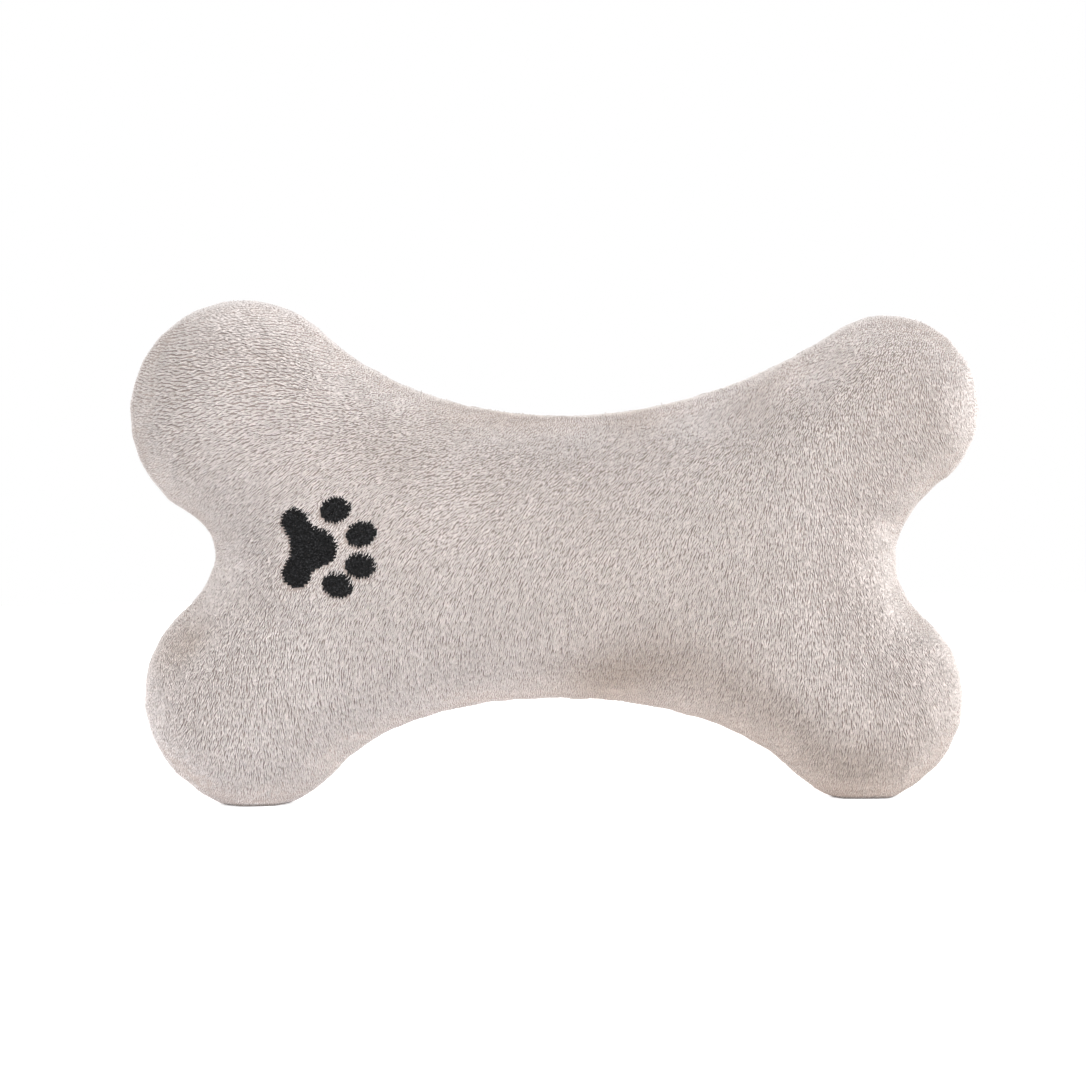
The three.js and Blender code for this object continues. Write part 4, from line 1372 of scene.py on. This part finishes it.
# The lamps: place, aim, size, power and colour. The bounces stand for what the floor throws back
LAMPS = {
    "key_lamp": ((0.9, -1.2, 0.85), (0.0, 0.0, 0.05), (0.9, 0.7), 17.6, (0.96, 0.985, 1.0)),
    "near_lamp": ((0.22, -0.4, 0.45), (0.06, 0.0, 0.095), (0.3, 0.3), 0.8, (0.92, 0.975, 1.0)),
    "fill_lamp": ((-1.2, -1.0, 0.5), (0.0, 0.0, 0.06), (0.9, 0.9), 2.0, (1.0, 1.0, 1.0)),
    "low_lamp": ((-0.6, -1.1, 0.1), (-0.03, 0.0, 0.03), (1.0, 0.2), 5.0, (1.0, 0.99, 0.98)),
    "side_lamp": ((0.8, -1.1, 0.1), (0.05, 0.0, 0.03), (0.8, 0.2), 5.2, (1.0, 0.985, 0.97)),
    "back_lamp": ((-0.7, 1.3, 0.8), (0.0, 0.0, 0.05), (0.9, 0.7), 20.0, (1.0, 1.0, 1.0)),
    "rim_lamp": ((1.1, 0.0, 0.35), (0.03, 0.0, 0.06), (0.6, 0.6), 3.4, (0.95, 1.0, 1.0)),
    "left_bounce": ((-0.15, -0.15, 0.0005), (-0.15, -0.15, 1.0), (0.3, 0.4), 0.2, (0.95, 0.95, 1.0)),
    "right_bounce": ((0.14, -0.15, 0.0005), (0.14, -0.15, 1.0), (0.3, 0.4), 0.13, (1.0, 0.8, 0.66)),
}


def make_lamps():
    for name, (place, aim, size, power, colour) in LAMPS.items():
        data = bpy.data.lights.new(name, "AREA")
        data.shape = "RECTANGLE"
        data.size, data.size_y = size
        data.energy = power
        data.color = colour
        lamp = bpy.data.objects.new(name, data)
        lamp.location = place
        lamp.rotation_euler = (Vector(aim) - Vector(place)).to_track_quat("-Z", "Y").to_euler()
        lamp.visible_camera = False
        bpy.context.scene.collection.objects.link(lamp)


def floor_material():
    """White paper: the camera sees it white, with the toy's shadow kept."""
    material, nodes, shader = new_material("paper_floor")
    nodes.fill(shader, {"Base Color": (0.92, 0.92, 0.92, 1.0), "Roughness": 1.0, "Specular IOR Level": 0.0})
    glow = nodes.add("ShaderNodeEmission", {"Color": WHITE, "Strength": 0.7})
    dark = nodes.add("ShaderNodeEmission", {"Strength": 0.0})
    lit = nodes.add("ShaderNodeMixShader", {0: nodes.seen_plainly(), 1: dark, 2: glow})
    both = nodes.add("ShaderNodeAddShader", {0: shader.outputs[0], 1: lit})
    out = next(n for n in material.node_tree.nodes if n.type == "OUTPUT_MATERIAL")
    nodes.fill(out, {"Surface": both})
    return material


FLOOR_RADIUS = 0.9
FLOOR_SIDES = 96


def make_floor():
    """A round floor of white paper. The white world is its backdrop."""
    turns = [2 * math.pi * k / FLOOR_SIDES for k in range(FLOOR_SIDES)]
    points = [(FLOOR_RADIUS * math.cos(turn), FLOOR_RADIUS * math.sin(turn), 0.0) for turn in turns]
    floor = new_piece("floor", new_mesh("floor", points, [range(FLOOR_SIDES)]), floor_material())


def make_world():
    """A white world that gives less light than the camera sees in it."""
    world = bpy.data.worlds.new("studio")
    bpy.context.scene.world = world
    world.use_nodes = True
    nodes = Nodes(world.node_tree)
    background = next(n for n in world.node_tree.nodes if n.type == "BACKGROUND")
    strength = nodes.ramp(nodes.seen_plainly(), 0.0, 1.0, 0.65, 1.0)
    nodes.fill(background, {"Color": WHITE, "Strength": strength})


# The photograph's camera: metres to a pixel on the seam plane, roll, the pixel that the outline was
# measured from, and that pixel's place in X and Z
PIXEL = 0.2356 * MM
ROLL = math.radians(0.7044)
MEASURED_FROM = (555.0, 552.0)
MEASURED_X, MEASURED_Z = -0.308 * MM, 58.656 * MM
SENSOR_WIDTH = 36.0


def make_camera():
    """The photograph's camera, aimed at the place of the photograph's middle on the seam plane."""
    middle = PHOTO_PIXELS / 2
    across, up = (middle - MEASURED_FROM[0]) * PIXEL, (MEASURED_FROM[1] - middle) * PIXEL
    aim = Vector((
        across * math.cos(ROLL) + up * math.sin(ROLL) + MEASURED_X,
        0.0,
        -across * math.sin(ROLL) + up * math.cos(ROLL) + MEASURED_Z,
    ))
    distance, tilt = sizes().camera_distance, sizes().camera_height
    data = bpy.data.cameras.new("photo_camera")
    data.sensor_width = SENSOR_WIDTH
    data.lens = data.sensor_width * distance / (PHOTO_PIXELS * PIXEL)
    data.clip_end = 20.0
    camera = bpy.data.objects.new("photo_camera", data)
    camera.location = aim + distance * Vector((0.0, -math.cos(tilt), math.sin(tilt)))
    turn = Euler((math.pi / 2 - tilt, 0.0, 0.0)).to_matrix() @ Matrix.Rotation(-ROLL, 3, "Z")
    camera.rotation_euler = turn.to_euler()
    bpy.context.scene.collection.objects.link(camera)
    bpy.context.scene.camera = camera


def make_stage():
    make_floor()
    make_world()
    make_camera()
    make_lamps()
    bpy.context.scene.view_settings.view_transform = "Standard"


class PLUSHBONE_OT_stage(bpy.types.Operator):
    """Makes the floor, the lamps and the camera"""

    bl_idname = "plushbone.stage"
    bl_label = "Stage"

    def execute(self, context):
        make_stage()
        return {"FINISHED"}


class PLUSHBONE_OT_skins(bpy.types.Operator):
    """Makes the ground cloth of the two plush panels"""

    bl_idname = "plushbone.skins"
    bl_label = "Plush panels"

    def execute(self, context):
        make_skins()
        return {"FINISHED"}


class PLUSHBONE_OT_pile(bpy.types.Operator):
    """Grows the pile on both panels"""

    bl_idname = "plushbone.pile"
    bl_label = "Pile"

    def execute(self, context):
        make_pile()
        return {"FINISHED"}


class PLUSHBONE_OT_embroidery(bpy.types.Operator):
    """Fills the pad and the toes of the paw with stitches"""

    bl_idname = "plushbone.embroidery"
    bl_label = "Embroidered paw"

    def execute(self, context):
        make_embroidery()
        return {"FINISHED"}


class PLUSHBONE_OT_filling(bpy.types.Operator):
    """Makes the wads of fibre"""

    bl_idname = "plushbone.filling"
    bl_label = "Filling"

    def execute(self, context):
        make_wads()
        return {"FINISHED"}


class PLUSHBONE_OT_inside(bpy.types.Operator):
    """Dresses the threads, the backing sheet and the squeaker"""

    bl_idname = "plushbone.inside"
    bl_label = "Threads, backing and squeaker"

    def execute(self, context):
        dress_carried_nodes()
        return {"FINISHED"}


class PLUSHBONE_PT_panel(bpy.types.Panel):
    """Lists the pieces of the plush bone"""

    bl_idname = "PLUSHBONE_PT_panel"
    bl_label = "Plush Bone"
    bl_space_type = "VIEW_3D"
    bl_region_type = "UI"
    bl_category = "Plush Bone"

    def draw(self, context):
        for name in PlushBoneSizes.__annotations__:
            self.layout.prop(context.scene.plush_bone, name)
        for operator in OPERATORS:
            self.layout.operator(operator.bl_idname)


OPERATORS = (
    PLUSHBONE_OT_stage,
    PLUSHBONE_OT_skins,
    PLUSHBONE_OT_pile,
    PLUSHBONE_OT_embroidery,
    PLUSHBONE_OT_filling,
    PLUSHBONE_OT_inside,
)
CLASSES = (PlushBoneSizes, *OPERATORS, PLUSHBONE_PT_panel)


def register():
    for cls in CLASSES:
        bpy.utils.register_class(cls)
    bpy.types.Scene.plush_bone = bpy.props.PointerProperty(type=PlushBoneSizes)


def unregister():
    del bpy.types.Scene.plush_bone
    for cls in reversed(CLASSES):
        bpy.utils.unregister_class(cls)


def main():
    register()
    bpy.ops.plushbone.stage()
    bpy.ops.plushbone.skins()
    bpy.ops.plushbone.pile()
    bpy.ops.plushbone.embroidery()
    bpy.ops.plushbone.filling()
    bpy.ops.plushbone.inside()


if __name__ == "__main__":
    main()
